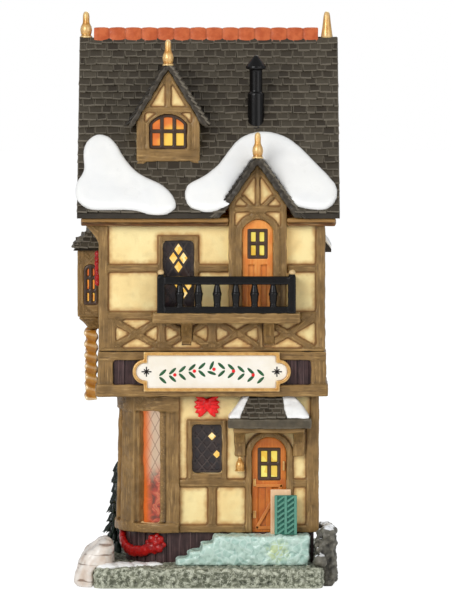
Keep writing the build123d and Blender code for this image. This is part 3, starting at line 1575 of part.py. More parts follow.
# Corbel under the oriel
with BuildPart() as oriel_corbel:
    with BuildSketch(Plane.XY.offset(oriel_z - oriel_corbel_height)):
        with Locations((upper_left - oriel_corbel_reach / 2, oriel_y)):
            Rectangle(oriel_corbel_reach, oriel_width * oriel_top_share)
    with BuildSketch(Plane.XY.offset(oriel_z)):
        span(oriel_left, upper_left, *oriel_ends)
    loft()
oriel_corbel.part.label = "oriel_corbel"
export_step(oriel_corbel.part, "parts/oriel_corbel.step")

# Gilt ridged console under the corbel
console_back = upper_left - jetty_rail_depth
console_top = oriel_z - oriel_corbel_height
with BuildPart() as oriel_bracket:
    with BuildSketch(Plane.XZ.offset(-console_y)):
        ridge = console_drop / console_ridges
        with BuildLine():
            Line((console_back, console_top), (console_back - console_proud, console_top))
            for number in range(console_ridges):
                high = console_top - number * ridge
                ThreePointArc((console_back - console_proud, high),
                              (console_back - console_proud - console_ridge_depth, high - ridge / 2),
                              (console_back - console_proud, high - ridge))
            Polyline((console_back - console_proud, console_top - console_drop),
                     (console_back, console_top - console_drop), (console_back, console_top))
        make_face()
    extrude(amount=console_thick / 2, both=True)
oriel_bracket.part.label = "oriel_bracket"
export_step(oriel_bracket.part, "parts/oriel_bracket.step")

# Hood over the right wall's window
with BuildPart() as side_hood:
    with BuildSketch(Plane.XZ.offset(-hood_y - hood_width / 2)):
        outline([(upper_right, hood_z), (upper_right + hood_reach, hood_z), hood_eave, hood_head])
    extrude(amount=hood_width)
side_hood.part.label = "side_hood"
export_step(side_hood.part, "parts/side_hood.step")


def lattice_grille(window):
    """Diamond lattice with a rim, set at the back of one window opening."""
    plane, middle, foot, width, height = window
    column = width / lattice_columns
    row = height / lattice_rows
    left = middle - width / 2 + fit_gap
    right = middle + width / 2 - fit_gap
    low = foot + fit_gap
    high = foot + height - fit_gap
    run = Vector(column * lattice_rows, height)
    starts = [middle + column * (number - (lattice_columns + lattice_rows - 1) / 2)
              for number in range(lattice_columns + lattice_rows)]
    with BuildSketch(plane.offset(-wall)) as grille:
        with Locations([(start, foot + height / 2) for start in starts]):
            for lean in (-1, 1):
                Rectangle(run.length, lattice_bar, rotation=lean * degrees(atan2(run.Y, run.X)))
        span(left, right, low, high, mode=Mode.INTERSECT)
        with BuildSketch(mode=Mode.PRIVATE) as rim:
            span(left, right, low, high)
            span(left + bar_width, right - bar_width, low + bar_width, high - bar_width, mode=Mode.SUBTRACT)
        add(rim.sketch)
    extrude(grille.sketch, amount=bar_depth)


# Diamond lattices of the plain windows
with BuildPart() as window_lattice:
    for window in lower_windows + upper_windows + attic_windows:
        lattice_grille(window)
window_lattice.part.label = "window_lattice"
export_step(window_lattice.part, "parts/window_lattice.step")


def pane_bars(plane, middle, width, foot, spring, rise, columns, rows):
    """Rim and straight bars of one paned light, arched where it has a rise."""
    left = middle - width / 2 + fit_gap
    right = middle + width / 2 - fit_gap
    low = foot + fit_gap
    head = foot + spring + rise
    with BuildSketch(plane) as light:
        for column in range(1, columns):
            with Locations((left + (right - left) * column / columns, (low + head) / 2)):
                Rectangle(bar_width, head - low)
        for row in range(1, rows):
            with Locations((middle, low + (head - low) * row / rows)):
                Rectangle(right - left, bar_width)
        if rise:
            arched(middle, right - left, low, foot + spring, rise - fit_gap, mode=Mode.INTERSECT)
            with BuildSketch(mode=Mode.PRIVATE) as rim:
                arched(middle, right - left, low, foot + spring, rise - fit_gap)
                arched(middle, right - left - 2 * bar_width, low + bar_width, foot + spring,
                       rise - fit_gap - bar_width,
                       mode=Mode.SUBTRACT)
            add(rim.sketch)
        else:
            span(left, right, low, head - fit_gap, mode=Mode.INTERSECT)
            with BuildSketch(mode=Mode.PRIVATE) as rim:
                span(left, right, low, head - fit_gap)
                span(left + bar_width, right - bar_width, low + bar_width, head - fit_gap - bar_width,
                     mode=Mode.SUBTRACT)
            add(rim.sketch)
    extrude(light.sketch, amount=bar_depth)


# Straight glazing bars of the dormer, the oriel and both doors
leaf_back = -door_recess - door_thick
with BuildPart() as window_bars:
    pane_bars(dormer_face.offset(-dormer_wall), dormer_x, dormer_light_width, dormer_light_z,
              dormer_light_spring,
              dormer_light_rise, 3, 2)
    for plane, middle in oriel_openings:
        pane_bars(plane.offset(-oriel_wall), middle, oriel_light_width, oriel_z + oriel_light_foot,
                  oriel_light_spring, oriel_light_rise, 2, 3)
    pane_bars(front_lower.offset(leaf_back), door_x, door_light_width, lower_z + door_light_foot,
              door_light_height,
              0, 2, 2)
    pane_bars(bay_face.offset(leaf_back), gable_x, bay_light_width, floor_top + bay_light_foot,
              bay_light_height,
              0, 2, 2)
window_bars.part.label = "window_bars"
export_step(window_bars.part, "parts/window_bars.step")


def film(plane, middle, width, low, high, rise=0):
    """One sheet of painted film behind an opening, arched where the opening is."""
    with BuildSketch(plane) as sheet:
        if rise:
            arched(middle, width + 2 * film_lap, low - film_lap, high - rise, rise + film_lap)
        else:
            span(middle - width / 2 - film_lap, middle + width / 2 + film_lap, low - film_lap,
                 high + film_lap)
    extrude(sheet.sketch, amount=-film_thick)


# Painted films glued behind the flat windows
with BuildPart() as window_films:
    for plane, middle, foot, width, height in lower_windows + upper_windows + attic_windows:
        film(plane.offset(-wall), middle, width, foot, foot + height)
    film(dormer_face.offset(-dormer_wall), dormer_x, dormer_light_width, dormer_light_z,
         dormer_light_z + dormer_light_spring + dormer_light_rise, dormer_light_rise)
    for plane, middle in oriel_openings:
        light_low = oriel_z + oriel_light_foot
        film(plane.offset(-oriel_wall), middle, oriel_light_width, light_low,
             light_low + oriel_light_spring + oriel_light_rise, oriel_light_rise)
    film(front_lower.offset(leaf_back), door_x, door_light_width, lower_z + door_light_foot,
         lower_z + door_light_foot + door_light_height)
    film(bay_face.offset(leaf_back), gable_x, bay_light_width, floor_top + bay_light_foot,
         floor_top + bay_light_foot + bay_light_height)
window_films.part.label = "window_films"
export_step(window_films.part, "parts/window_films.step")

# Lamp, on an axis square to the rear wall: depths run out of the house from the wall's outer face
lamp_section = Plane(origin=(lamp_x, lower_rear, lamp_z))
lamp_axis = Axis((lamp_x, lower_rear, lamp_z), (0, 1, 0))
flange_back = seat_gap + flange_thick
cap_back = flange_back + holder_cap_depth
bore_end = cap_back - cord_wall
disc_front = bore_end - contact_disc
tip_end = disc_front - tip_gap
cap_end = tip_end - tip_length - tip_gap
cap_start = cap_end - cap_length

# Moulded holder with its flange, rear cap and cord inlet
with BuildPart() as lamp_housing:
    with BuildSketch(lamp_section):
        outline([(holder_bore, -holder_depth), (holder_radius, -holder_depth), (holder_radius, seat_gap),
                 (flange_radius, seat_gap), (flange_radius, flange_back), (holder_cap_radius, flange_back),
                 (holder_cap_radius, cap_back - holder_cap_bevel),
                 (holder_cap_radius - holder_cap_bevel, cap_back),
                 (cord_bore, cap_back), (cord_bore, bore_end), (holder_bore, bore_end)])
    revolve(axis=lamp_axis)
lamp_housing.part.label = "lamp_housing"
export_step(lamp_housing.part, "parts/lamp_housing.step")

# Screw shell and centre contact inside the holder
shell_radius = holder_bore - contact_gap
with BuildPart() as socket_contacts:
    with BuildSketch(lamp_section):
        outline([(shell_radius - contact_thick, contact_inset - holder_depth),
                 (shell_radius, contact_inset - holder_depth),
                 (shell_radius, cap_end), (shell_radius - contact_thick, cap_end)])
    revolve(axis=lamp_axis)
    with BuildSketch(lamp_section):
        outline([(0, disc_front), (shell_radius, disc_front), (shell_radius, bore_end), (0, bore_end)])
    revolve(axis=lamp_axis)
socket_contacts.part.label = "socket_contacts"
export_step(socket_contacts.part, "parts/socket_contacts.step")


def spring_clip(side):
    """One bent strip that bears on the edge of the rear hole."""
    outer = [(clip_root, -clip_root_gap), (clip_bulge, -clip_bulge_depth), (clip_end, -clip_length)]
    inner = [(clip_end - clip_thick, -clip_length), (clip_bulge - clip_thick, -clip_bulge_depth),
             (clip_root - clip_thick, -clip_root_gap)]
    with BuildSketch(lamp_section) as strip:
        outline([(side * across, along) for across, along in outer + inner])
    extrude(strip.sketch, amount=clip_width / 2, both=True)


# Spring clips on both sides of the holder
with BuildPart() as clip_left:
    spring_clip(-1)
clip_left.part.label = "clip_left"
export_step(clip_left.part, "parts/clip_left.step")
with BuildPart() as clip_right:
    spring_clip(1)
clip_right.part.label = "clip_right"
export_step(clip_right.part, "parts/clip_right.step")

# Bulb: contact tip, ridged cap, glass and filament stem
with BuildPart() as bulb_tip:
    with BuildSketch(lamp_section):
        outline([(0, tip_end - tip_length), (tip_radius, tip_end - tip_length), (tip_nose, tip_end),
                 (0, tip_end)])
    revolve(axis=lamp_axis)
bulb_tip.part.label = "bulb_tip"
export_step(bulb_tip.part, "parts/bulb_tip.step")
with BuildPart() as bulb_cap:
    with BuildSketch(lamp_section):
        ridge = (cap_length - 2 * cap_lip) / cap_ridges
        valley = cap_radius - cap_ridge_depth
        points = [(0, cap_end - cap_lip), (cap_bore, cap_end - cap_lip), (cap_bore, cap_start),
                  (valley, cap_start)]
        for number in range(cap_ridges):
            low = cap_start + cap_lip + number * ridge
            points += [(valley, low), (cap_radius, low + ridge / 2)]
        points += [(valley, cap_end - cap_lip), (tip_radius, cap_end), (0, cap_end)]
        outline(points)
    revolve(axis=lamp_axis)
bulb_cap.part.label = "bulb_cap"
export_step(bulb_cap.part, "parts/bulb_cap.step")

glass_start = cap_start + cap_length / 2
neck_end = glass_start - glass_neck_length
glass_end = cap_start - glass_length
ball_at = glass_end + glass_radius


def glass_side(inset, mode=Mode.ADD):
    """Ball, shoulder and neck of the bulb's glass, drawn in from its outer face."""
    neck = glass_neck - inset
    ball = glass_radius - inset
    reach = neck_end - ball_at
    turn = atan2(reach, neck) - acos(ball / hypot(neck, reach))
    shoulder = (ball * cos(turn), ball_at + ball * sin(turn))
    with Locations((0, ball_at)):
        Circle(ball, mode=mode)
    outline([(0, glass_start), (neck, glass_start), (neck, neck_end), shoulder, (0, ball_at)], mode=mode)


with BuildPart() as bulb_glass:
    with BuildSketch(lamp_section):
        glass_side(0)
        glass_side(glass_wall, mode=Mode.SUBTRACT)
        span(-glass_radius - overrun, 0, glass_end - overrun, glass_start, mode=Mode.SUBTRACT)
    revolve(axis=lamp_axis)
bulb_glass.part.label = "bulb_glass"
export_step(bulb_glass.part, "parts/bulb_glass.step")
with BuildPart() as bulb_filament:
    with BuildSketch(lamp_section):
        stem_foot = glass_neck - glass_wall - fit_gap
        stem_end = glass_start - stem_length
        outline([(0, glass_start), (stem_foot, glass_start), (stem_radius, glass_start - stem_flare),
                 (stem_radius / 2, stem_end), (0, stem_end)])
    revolve(axis=lamp_axis)
    wire_end = stem_end - wire_length
    with BuildSketch(lamp_section):
        for side in (-1, 1):
            brace((0, stem_end), (side * wire_spread, wire_end), 2 * wire_radius)
        brace((-wire_spread, wire_end), (wire_spread, wire_end), 2 * wire_radius)
    extrude(amount=wire_radius, both=True)
bulb_filament.part.label = "bulb_filament"
export_step(bulb_filament.part, "parts/bulb_filament.step")
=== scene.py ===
"""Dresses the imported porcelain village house: roofs, walls, timbers, snow, windows, trimmings, ground and lamp."""
import logging
import math
import random
from dataclasses import dataclass
from enum import Enum
from typing import Callable, Iterable, Sequence

import bmesh
import bpy
import numpy as np
from mathutils import Matrix, Vector, noise
from mathutils.bvhtree import BVHTree


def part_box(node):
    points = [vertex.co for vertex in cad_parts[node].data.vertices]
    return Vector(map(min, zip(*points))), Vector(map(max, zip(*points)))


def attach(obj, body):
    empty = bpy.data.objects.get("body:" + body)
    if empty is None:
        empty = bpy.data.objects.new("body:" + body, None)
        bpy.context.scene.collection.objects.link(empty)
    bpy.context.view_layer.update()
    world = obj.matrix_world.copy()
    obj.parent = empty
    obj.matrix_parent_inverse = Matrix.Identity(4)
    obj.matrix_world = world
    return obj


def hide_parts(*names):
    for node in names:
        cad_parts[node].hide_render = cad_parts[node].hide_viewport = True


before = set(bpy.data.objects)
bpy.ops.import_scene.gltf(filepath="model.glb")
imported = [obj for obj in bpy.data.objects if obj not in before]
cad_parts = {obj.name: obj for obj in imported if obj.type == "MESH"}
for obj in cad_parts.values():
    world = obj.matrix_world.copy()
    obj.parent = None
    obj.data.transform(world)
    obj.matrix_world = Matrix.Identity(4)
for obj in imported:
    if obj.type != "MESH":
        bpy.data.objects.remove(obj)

MM = 0.001
WELD = 0.01
HOUSE = "house"
UP = Vector((0, 0, 1)).freeze()
RIGHT = Vector((1, 0, 0)).freeze()
FRONT = Vector((0, -1, 0)).freeze()
LEFT = Vector((-1, 0, 0)).freeze()
UNIT = (1.0, 1.0, 1.0)
BLACK = (0.0, 0.0, 0.0)
SHOP_CORNER = (-16.1, -16.5)
Colour = tuple[float, float, float]
Point = tuple[float, float, float]
Range = tuple[float, float]
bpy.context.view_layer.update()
log = logging.getLogger("village_house")


def paint(red: int, green: int, blue: int) -> Colour:
    """Scene colour of a paint that is named in screen values.

    Args:
        red: Red from 0 to 255.
        green: Green from 0 to 255.
        blue: Blue from 0 to 255.

    Returns:
        The colour in linear light.
    """
    parts = (value / 255 for value in (red, green, blue))
    return tuple(part / 12.92 if part < 0.04045 else ((part + 0.055) / 1.055) ** 2.4 for part in parts)


class Wire:
    """One output in a material, with arithmetic that adds Math nodes."""

    def __init__(self, graph: "Graph", socket: bpy.types.NodeSocket) -> None:
        """Keeps the graph and the socket."""
        self.graph = graph
        self.socket = socket

    def math(self, operation: str, *values: "Wire | float") -> "Wire":
        """Math node of one operation on the values."""
        return self.graph.node("ShaderNodeMath", {"operation": operation}, dict(enumerate(values)))

    def __add__(self, other: "Wire | float") -> "Wire":
        """Sum."""
        return self.math("ADD", self, other)

    def __radd__(self, other: float) -> "Wire":
        """Sum with a number on the left."""
        return self.math("ADD", other, self)

    def __sub__(self, other: "Wire | float") -> "Wire":
        """Difference."""
        return self.math("SUBTRACT", self, other)

    def __rsub__(self, other: float) -> "Wire":
        """Difference from a number on the left."""
        return self.math("SUBTRACT", other, self)

    def __mul__(self, other: "Wire | float") -> "Wire":
        """Product."""
        return self.math("MULTIPLY", self, other)

    def __rmul__(self, other: float) -> "Wire":
        """Product with a number on the left."""
        return self.math("MULTIPLY", other, self)

    def held(self) -> "Wire":
        """The value held between 0 and 1."""
        return self.math("MINIMUM", self.math("MAXIMUM", self, 0.0), 1.0)

    def step(self, low: float, high: float) -> "Wire":
        """Smooth change from 0 at low to 1 at high."""
        settings = {"interpolation_type": "SMOOTHSTEP"}
        return self.graph.node("ShaderNodeMapRange", settings, {"Value": self, "From Min": low, "From Max": high})


class Graph:
    """A new material and the nodes that it is built from."""

    def __init__(self, name: str) -> None:
        """Starts an empty material of that name."""
        self.material = bpy.data.materials.new(name)
        self.material.use_nodes = True
        self.tree = self.material.node_tree
        self.tree.nodes.clear()

    def node(self, kind: str, settings: dict | None = None, inputs: dict | None = None, out: int | str = 0) -> Wire:
        """Adds one node.

        Args:
            kind: Type of the node.
            settings: Its own settings, set first; stops are a colour ramp's places and colours.
            inputs: Values or wires of its sockets, by name or number.
            out: The output that is wanted.

        Returns:
            That output.
        """
        made = self.tree.nodes.new(kind)
        for key, value in (settings or {}).items():
            if key == "stops":
                while len(made.color_ramp.elements) < len(value):
                    made.color_ramp.elements.new(1.0)
                for element, (at, colour) in zip(made.color_ramp.elements, value):
                    element.position = at
                    element.color = (*colour, 1.0)
            else:
                setattr(made, key, value)
        for key, value in (inputs or {}).items():
            if isinstance(value, Wire):
                self.tree.links.new(value.socket, made.inputs[key])
            elif isinstance(value, tuple) and len(value) == 3 and made.inputs[key].type == "RGBA":
                made.inputs[key].default_value = (*value, 1.0)
            else:
                made.inputs[key].default_value = value
        return Wire(self, made.outputs[out])

    def spot(self) -> Wire:
        """Place on the object."""
        return self.node("ShaderNodeTexCoord", out="Object")

    def attribute(self, name: str, out: str = "Fac") -> Wire:
        """Value that the mesh carries under a name."""
        return self.node("ShaderNodeAttribute", {"attribute_name": name}, out=out)

    def noise(self, size: float, detail: float = 3.0, at: Wire | None = None, twist: float = 0.0) -> Wire:
        """Soft noise.

        Args:
            size: Width of one patch in millimetres, or in the units of the given place.
            detail: How many finer layers it has.
            at: Place to read it at, if not the object's own.
            twist: How far it is bent.

        Returns:
            The noise, about 0.5 on average.
        """
        scale = 1 / size if at else 1 / (size * MM)
        inputs = {"Vector": at or self.spot(), "Scale": scale, "Detail": detail, "Distortion": twist}
        return self.node("ShaderNodeTexNoise", None, inputs)

    def cells(self, size: float, feature: str = "F1", out: str = "Distance") -> Wire:
        """Voronoi cells of a width in millimetres."""
        inputs = {"Vector": self.spot(), "Scale": 1 / (size * MM)}
        return self.node("ShaderNodeTexVoronoi", {"feature": feature}, inputs, out)

    def mix(self, share: Wire | float, first: Wire | Colour, second: Wire | Colour) -> Wire:
        """Colour between two colours."""
        return self.node("ShaderNodeMix", {"data_type": "RGBA"}, {0: share, 6: first, 7: second}, 2)

    def vector(self, operation: str, first: Wire, second: Wire | tuple | None = None, scale: Wire | float = 1.0,
               out: int | str = 0) -> Wire:
        """Vector Math node of one operation."""
        inputs = {0: first, "Scale": scale} if second is None else {0: first, 1: second}
        return self.node("ShaderNodeVectorMath", {"operation": operation}, inputs, out)

    def part(self, vector: Wire, axis: str) -> Wire:
        """One axis of a vector."""
        return self.node("ShaderNodeSeparateXYZ", None, {0: vector}, axis)

    def level(self, axis: str) -> Wire:
        """Place on the object along one axis, in millimetres."""
        return self.part(self.spot(), axis) * (1 / MM)

    def gap(self, point: Point) -> Wire:
        """Distance on the object from a point, in millimetres."""
        middle = tuple(value * MM for value in point)
        return self.vector("DISTANCE", self.spot(), middle, out="Value") * (1 / MM)

    def close(self, base: Wire | Colour, rough: Wire | float, height: Wire | None = None, depth: float = 0.1,
              **constants: float | Colour) -> None:
        """Ends the material in one shader.

        Args:
            base: Colour of the surface.
            rough: Roughness of the surface.
            height: Relief from 0 to 1.
            depth: Full depth of that relief in millimetres.
            constants: Values of other sockets, with the spaces of their names left out.
        """
        inputs = {"Base Color": base, "Roughness": rough}
        if height is not None:
            inputs["Normal"] = self.node("ShaderNodeBump", None, {"Height": height, "Distance": depth * MM})
        names = {name.replace(" ", ""): name for name in
                 ("Coat Weight", "Coat Roughness", "Metallic", "Emission Color", "Emission Strength", "IOR",
                  "Transmission Weight", "Specular IOR Level")}
        inputs.update({names[key]: value for key, value in constants.items()})
        shader = self.node("ShaderNodeBsdfPrincipled", None, inputs)
        self.node_out(shader)

    def node_out(self, shader: Wire) -> None:
        """Joins a shader to the material's output."""
        end = self.tree.nodes.new("ShaderNodeOutputMaterial")
        self.tree.links.new(shader.socket, end.inputs[0])


@dataclass(frozen=True)
class Coating:
    """A surface of one name, whose material is made once."""

    name: str

    def fill(self, g: Graph) -> None:
        """Builds the surface in an empty material."""
        raise NotImplementedError

    def material(self) -> bpy.types.Material:
        """The surface as a material."""
        made = bpy.data.materials.get(self.name)
        if made:
            return made
        g = Graph(self.name)
        self.fill(g)
        return g.material


@dataclass(frozen=True)
class Finish(Coating):
    """Hand-laid paint under a clear glaze, with painted shade in the hollows and painted highlights along the edges;
    lengths in mm.
    """

    tone: Colour
    second: Colour
    # Painted shade in the hollows; some finishes also use it for dark flecks, earth streaks or a painted shade line
    # beside timbers.
    deep: Colour
    # Painted highlight on the edges; stone also uses it for painted wormlike highlights, and cobbles for their frosty
    # joints.
    pale: Colour
    mottle: float = 5.0
    mottle_range: Range = (0.36, 0.66)
    hollow_shade_gain: float = 6.0
    hollow_shade_share: float = 0.7
    edge_highlight_gain: float = 5.0
    edge_highlight_start: float = 0.1
    edge_highlight_share: float = 0.4
    rough: float = 0.42
    rough_spread: float = 0.16
    coat: float = 0.25
    coat_rough: float = 0.18
    grit: float = 0.9
    grit_share: float = 0.6
    relief: float = 0.12
    metal: float = 0.0
    shine: float = 0.25

    def ground(self, g: Graph) -> Wire:
        """Colour before the edges are shaded."""
        return g.mix(g.noise(self.mottle, 4.0).step(*self.mottle_range), self.tone, self.second)

    def colour(self, g: Graph) -> Wire:
        """Colour with painted shade in the hollows and painted highlights on the edges."""
        edge = g.attribute("edge")
        # Painted shade: darker where the surface sinks into a hollow.
        hollow_shaded = g.mix((edge * -self.hollow_shade_gain).held() * self.hollow_shade_share, self.ground(g), self.deep)
        # Painted highlight: paler where the surface stands out along an edge.
        return g.mix((edge * self.edge_highlight_gain - self.edge_highlight_start).held() * self.edge_highlight_share, hollow_shaded, self.pale)

    def height(self, g: Graph) -> Wire:
        """Fine relief of the surface."""
        return g.noise(self.grit, 3.0) * self.grit_share + g.noise(self.mottle, 2.0) * (1 - self.grit_share)

    def fill(self, g: Graph) -> None:
        """Builds the paint, its relief and its glaze."""
        rough = g.noise(self.mottle / 2, 3.0) * self.rough_spread + (self.rough - self.rough_spread / 2)
        g.close(self.colour(g), rough, self.height(g), self.relief, CoatWeight=self.coat,
                CoatRoughness=self.coat_rough, Metallic=self.metal, SpecularIORLevel=self.shine)


@dataclass(frozen=True)
class Plaster(Finish):
    """Cream plaster with painted brown shade beside the timbers and a darker painted shade line against them."""

    # Painted shade that falls on the plaster beside the timbers.
    timber_shade: Colour = paint(196, 146, 84)
    timber_shade_patch: float = 3.0
    timber_shade_spread: float = 1.1
    timber_shade_least: float = 0.35
    timber_shade_range: Range = (0.25, 0.95)
    # Nearness at which the darker painted shade line against the timbers starts and is full.
    rim_range: Range = (0.78, 0.93)
    timber_shade_share: float = 0.85

    def ground(self, g: Graph) -> Wire:
        """Mottled cream, with patchy painted shade towards the timbers and a darker painted shade line against them.
        """
        near = g.attribute("near")
        patch = g.noise(self.timber_shade_patch, 4.0) * self.timber_shade_spread + self.timber_shade_least
        # Painted shade, patchy, growing towards the timbers.
        stain_and_shade = (near * patch).step(*self.timber_shade_range)
        timber_shaded = g.mix(stain_and_shade * self.timber_shade_share, super().ground(g), self.timber_shade)
        # Painted shade line in the crease against the timbers.
        return g.mix(near.step(*self.rim_range) * self.timber_shade_share, timber_shaded, self.deep)


@dataclass(frozen=True)
class Timber(Finish):
    """Painted timber with pale streaks and dark lines along each beam."""

    across: float = 0.8
    length: float = 9.0
    streak: Colour = paint(190, 156, 104)
    streak_range: Range = (0.5, 0.78)
    streak_share: float = 0.75
    line: Colour = paint(84, 58, 30)
    line_across_share: float = 0.55
    line_length_share: float = 1.4
    line_range: Range = (0.56, 0.74)
    line_share: float = 0.7
    groove_share: float = 0.6

    def along(self, g: Graph, across: float, length: float) -> Wire:
        """Place on the beam, drawn out along its grain.

        Args:
            g: The material.
            across: Width of one patch over the grain.
            length: Length of one patch along the grain.

        Returns:
            The place, for noise of size 1.
        """
        grain = g.attribute("along", "Vector")
        spot = g.spot()
        run = g.vector("DOT_PRODUCT", spot, grain, out="Value")
        spread = 1 / (across * MM)
        pull = 1 / (length * MM) - spread
        return g.vector("ADD", g.vector("SCALE", spot, scale=spread), g.vector("SCALE", grain, scale=run * pull))

    def ground(self, g: Graph) -> Wire:
        """Olive brown with streaks and lines."""
        pale = g.noise(1.0, 4.0, self.along(g, self.across, self.length)).step(*self.streak_range)
        fine = self.along(g, self.across * self.line_across_share, self.length * self.line_length_share)
        dark = g.noise(1.0, 3.0, fine).step(*self.line_range)
        base = g.mix(pale * self.streak_share, super().ground(g), self.streak)
        return g.mix(dark * self.line_share, base, self.line)

    def height(self, g: Graph) -> Wire:
        """Grooves along the grain."""
        return g.noise(1.0, 4.0, self.along(g, self.across * self.groove_share, self.length))


@dataclass(frozen=True)
class Moulding(Timber):
    """Cornice with a painted highlight band along its top over a darker lower one."""

    # Painted highlight along the top of the cornice.
    top_highlight: Colour = paint(190, 148, 92)
    top_highlight_share: float = 0.75
    split: float = 145.6
    split_blur: float = 0.6
    split_patch: float = 3.0
    split_wander: float = 0.5

    def ground(self, g: Graph) -> Wire:
        """Streaked brown, with a painted highlight above the split."""
        height = g.level("Z") + g.noise(self.split_patch, 2.0) * self.split_wander
        high = height.step(self.split, self.split + self.split_blur)
        # Painted highlight above the split.
        return g.mix(high * self.top_highlight_share, super().ground(g), self.top_highlight)


@dataclass(frozen=True)
class Planks(Finish):
    """Upright painted planks with streaks that run down them."""

    across: float = 0.7
    length: float = 8.0
    streak: Colour = paint(126, 100, 96)
    streak_range: Range = (0.5, 0.72)
    streak_share: float = 0.7

    def grain(self, g: Graph) -> Wire:
        """Noise that is drawn out along the plank."""
        spread = (1 / (self.across * MM), 1 / (self.across * MM), 1 / (self.length * MM))
        return g.noise(1.0, 4.0, g.vector("MULTIPLY", g.spot(), spread))

    def ground(self, g: Graph) -> Wire:
        """Dark planks with pale streaks."""
        pale = self.grain(g).step(*self.streak_range)
        return g.mix(pale * self.streak_share, super().ground(g), self.streak)

    def height(self, g: Graph) -> Wire:
        """Grain that runs up the plank."""
        return self.grain(g)


@dataclass(frozen=True)
class Shingles(Finish):
    """Dull grey-brown shingles, each a little different from the next."""

    light: Colour = paint(112, 104, 90)
    dark: Colour = paint(58, 50, 41)
    speckle: float = 1.3
    speckle_range: Range = (0.45, 0.75)
    speckle_share: float = 0.4

    def ground(self, g: Graph) -> Wire:
        """Tone of each shingle under fine speckle."""
        tone = g.attribute("tone")
        each = g.mix((tone * 2.0 - 1.0).held(), g.mix((1.0 - tone * 2.0).held(), self.tone, self.dark), self.light)
        return g.mix(g.noise(self.speckle, 4.0).step(*self.speckle_range) * self.speckle_share, each, self.second)


@dataclass(frozen=True)
class Stone(Finish):
    """Speckled rough stone, with painted wormlike highlights and with snow on what faces up where they are asked for.
    """

    fleck: Colour = paint(214, 214, 196)
    fleck_size: float = 1.3
    fleck_share: float = 0.85
    fleck_range: Range = (0.56, 0.68)
    dark_scale: float = 1.3
    dark_range: Range = (0.58, 0.7)
    # Painted highlights along thin wormlike ridges.
    wormlike_highlight: float = 0.0
    wormlike_highlight_size: float = 1.9
    wormlike_highlight_range: Range = (0.01, 0.045)
    frost: float = 0.0
    frost_tone: Colour = paint(246, 248, 250)
    frost_patch: float = 4.0
    frost_spread: float = 0.9
    frost_range: Range = (1.15, 1.35)

    def ground(self, g: Graph) -> Wire:
        """Grey-green with pale and dark flecks, and painted wormlike highlights where asked for."""
        pale = g.noise(self.fleck_size, 4.0).step(*self.fleck_range)
        dark = g.noise(self.fleck_size * self.dark_scale, 3.0, twist=1.0).step(*self.dark_range)
        base = g.mix(pale * self.fleck_share, super().ground(g), self.fleck)
        base = g.mix(dark * self.fleck_share, base, self.deep)
        # Painted highlights along thin wormlike ridges.
        if self.wormlike_highlight:
            swirl = g.noise(self.wormlike_highlight_size, 2.0, twist=0.6) - 0.5
            wormlike_highlight_mask = 1.0 - swirl.math("ABSOLUTE", swirl).step(*self.wormlike_highlight_range)
            base = g.mix(wormlike_highlight_mask * self.wormlike_highlight, base, self.pale)
        if not self.frost:
            return base
        up = g.part(g.node("ShaderNodeNewGeometry", out="Normal"), "Z")
        lying = (up + g.noise(self.frost_patch, 3.0) * self.frost_spread).step(*self.frost_range)
        return g.mix(lying * self.frost, base, self.frost_tone)


@dataclass(frozen=True)
class Drift(Finish):
    """Snow with brown streaks of earth in level layers."""

    layer: float = 2.4
    layer_length: float = 22.0
    streak_range: Range = (0.56, 0.63)
    streak_share: float = 0.85

    def ground(self, g: Graph) -> Wire:
        """Pale snow, streaked along its layers."""
        spread = (1 / (self.layer_length * MM), 1 / (self.layer_length * MM), 1 / (self.layer * MM))
        flat = g.vector("MULTIPLY", g.spot(), spread)
        streak = g.noise(1.0, 3.0, flat, 0.6).step(*self.streak_range)
        return g.mix(streak * self.streak_share, super().ground(g), self.deep)


@dataclass(frozen=True)
class Cobbles(Finish):
    """Icy paving with a tint of its own on each cobble."""

    cell: float = 3.1
    tint_range: Range = (0.2, 0.9)
    rim_range: Range = (0.01, 0.1)
    rim_share: float = 0.4
    # Colour of the moss patch on the paving.
    stain_and_shade: Colour = paint(204, 216, 140)
    stain_at: Point = (28.2, -45.5, 14.0)
    stain_patch: float = 2.0
    stain_wander: float = 5.0
    stain_range: Range = (4.0, 8.5)
    stain_share: float = 0.7

    def ground(self, g: Graph) -> Wire:
        """Mint cobbles with frosty joints and one patch of moss."""
        each = g.part(g.cells(self.cell, out="Color"), "X")
        rim = g.cells(self.cell, "DISTANCE_TO_EDGE").step(*self.rim_range)
        base = g.mix(each.step(*self.tint_range), self.tone, self.second)
        away = g.gap(self.stain_at) + g.noise(self.stain_patch, 3.0) * self.stain_wander
        moss = (1.0 - away.step(*self.stain_range)) * self.stain_share
        return g.mix(rim, g.mix(self.rim_share, self.tone, self.pale), g.mix(moss, base, self.stain_and_shade))


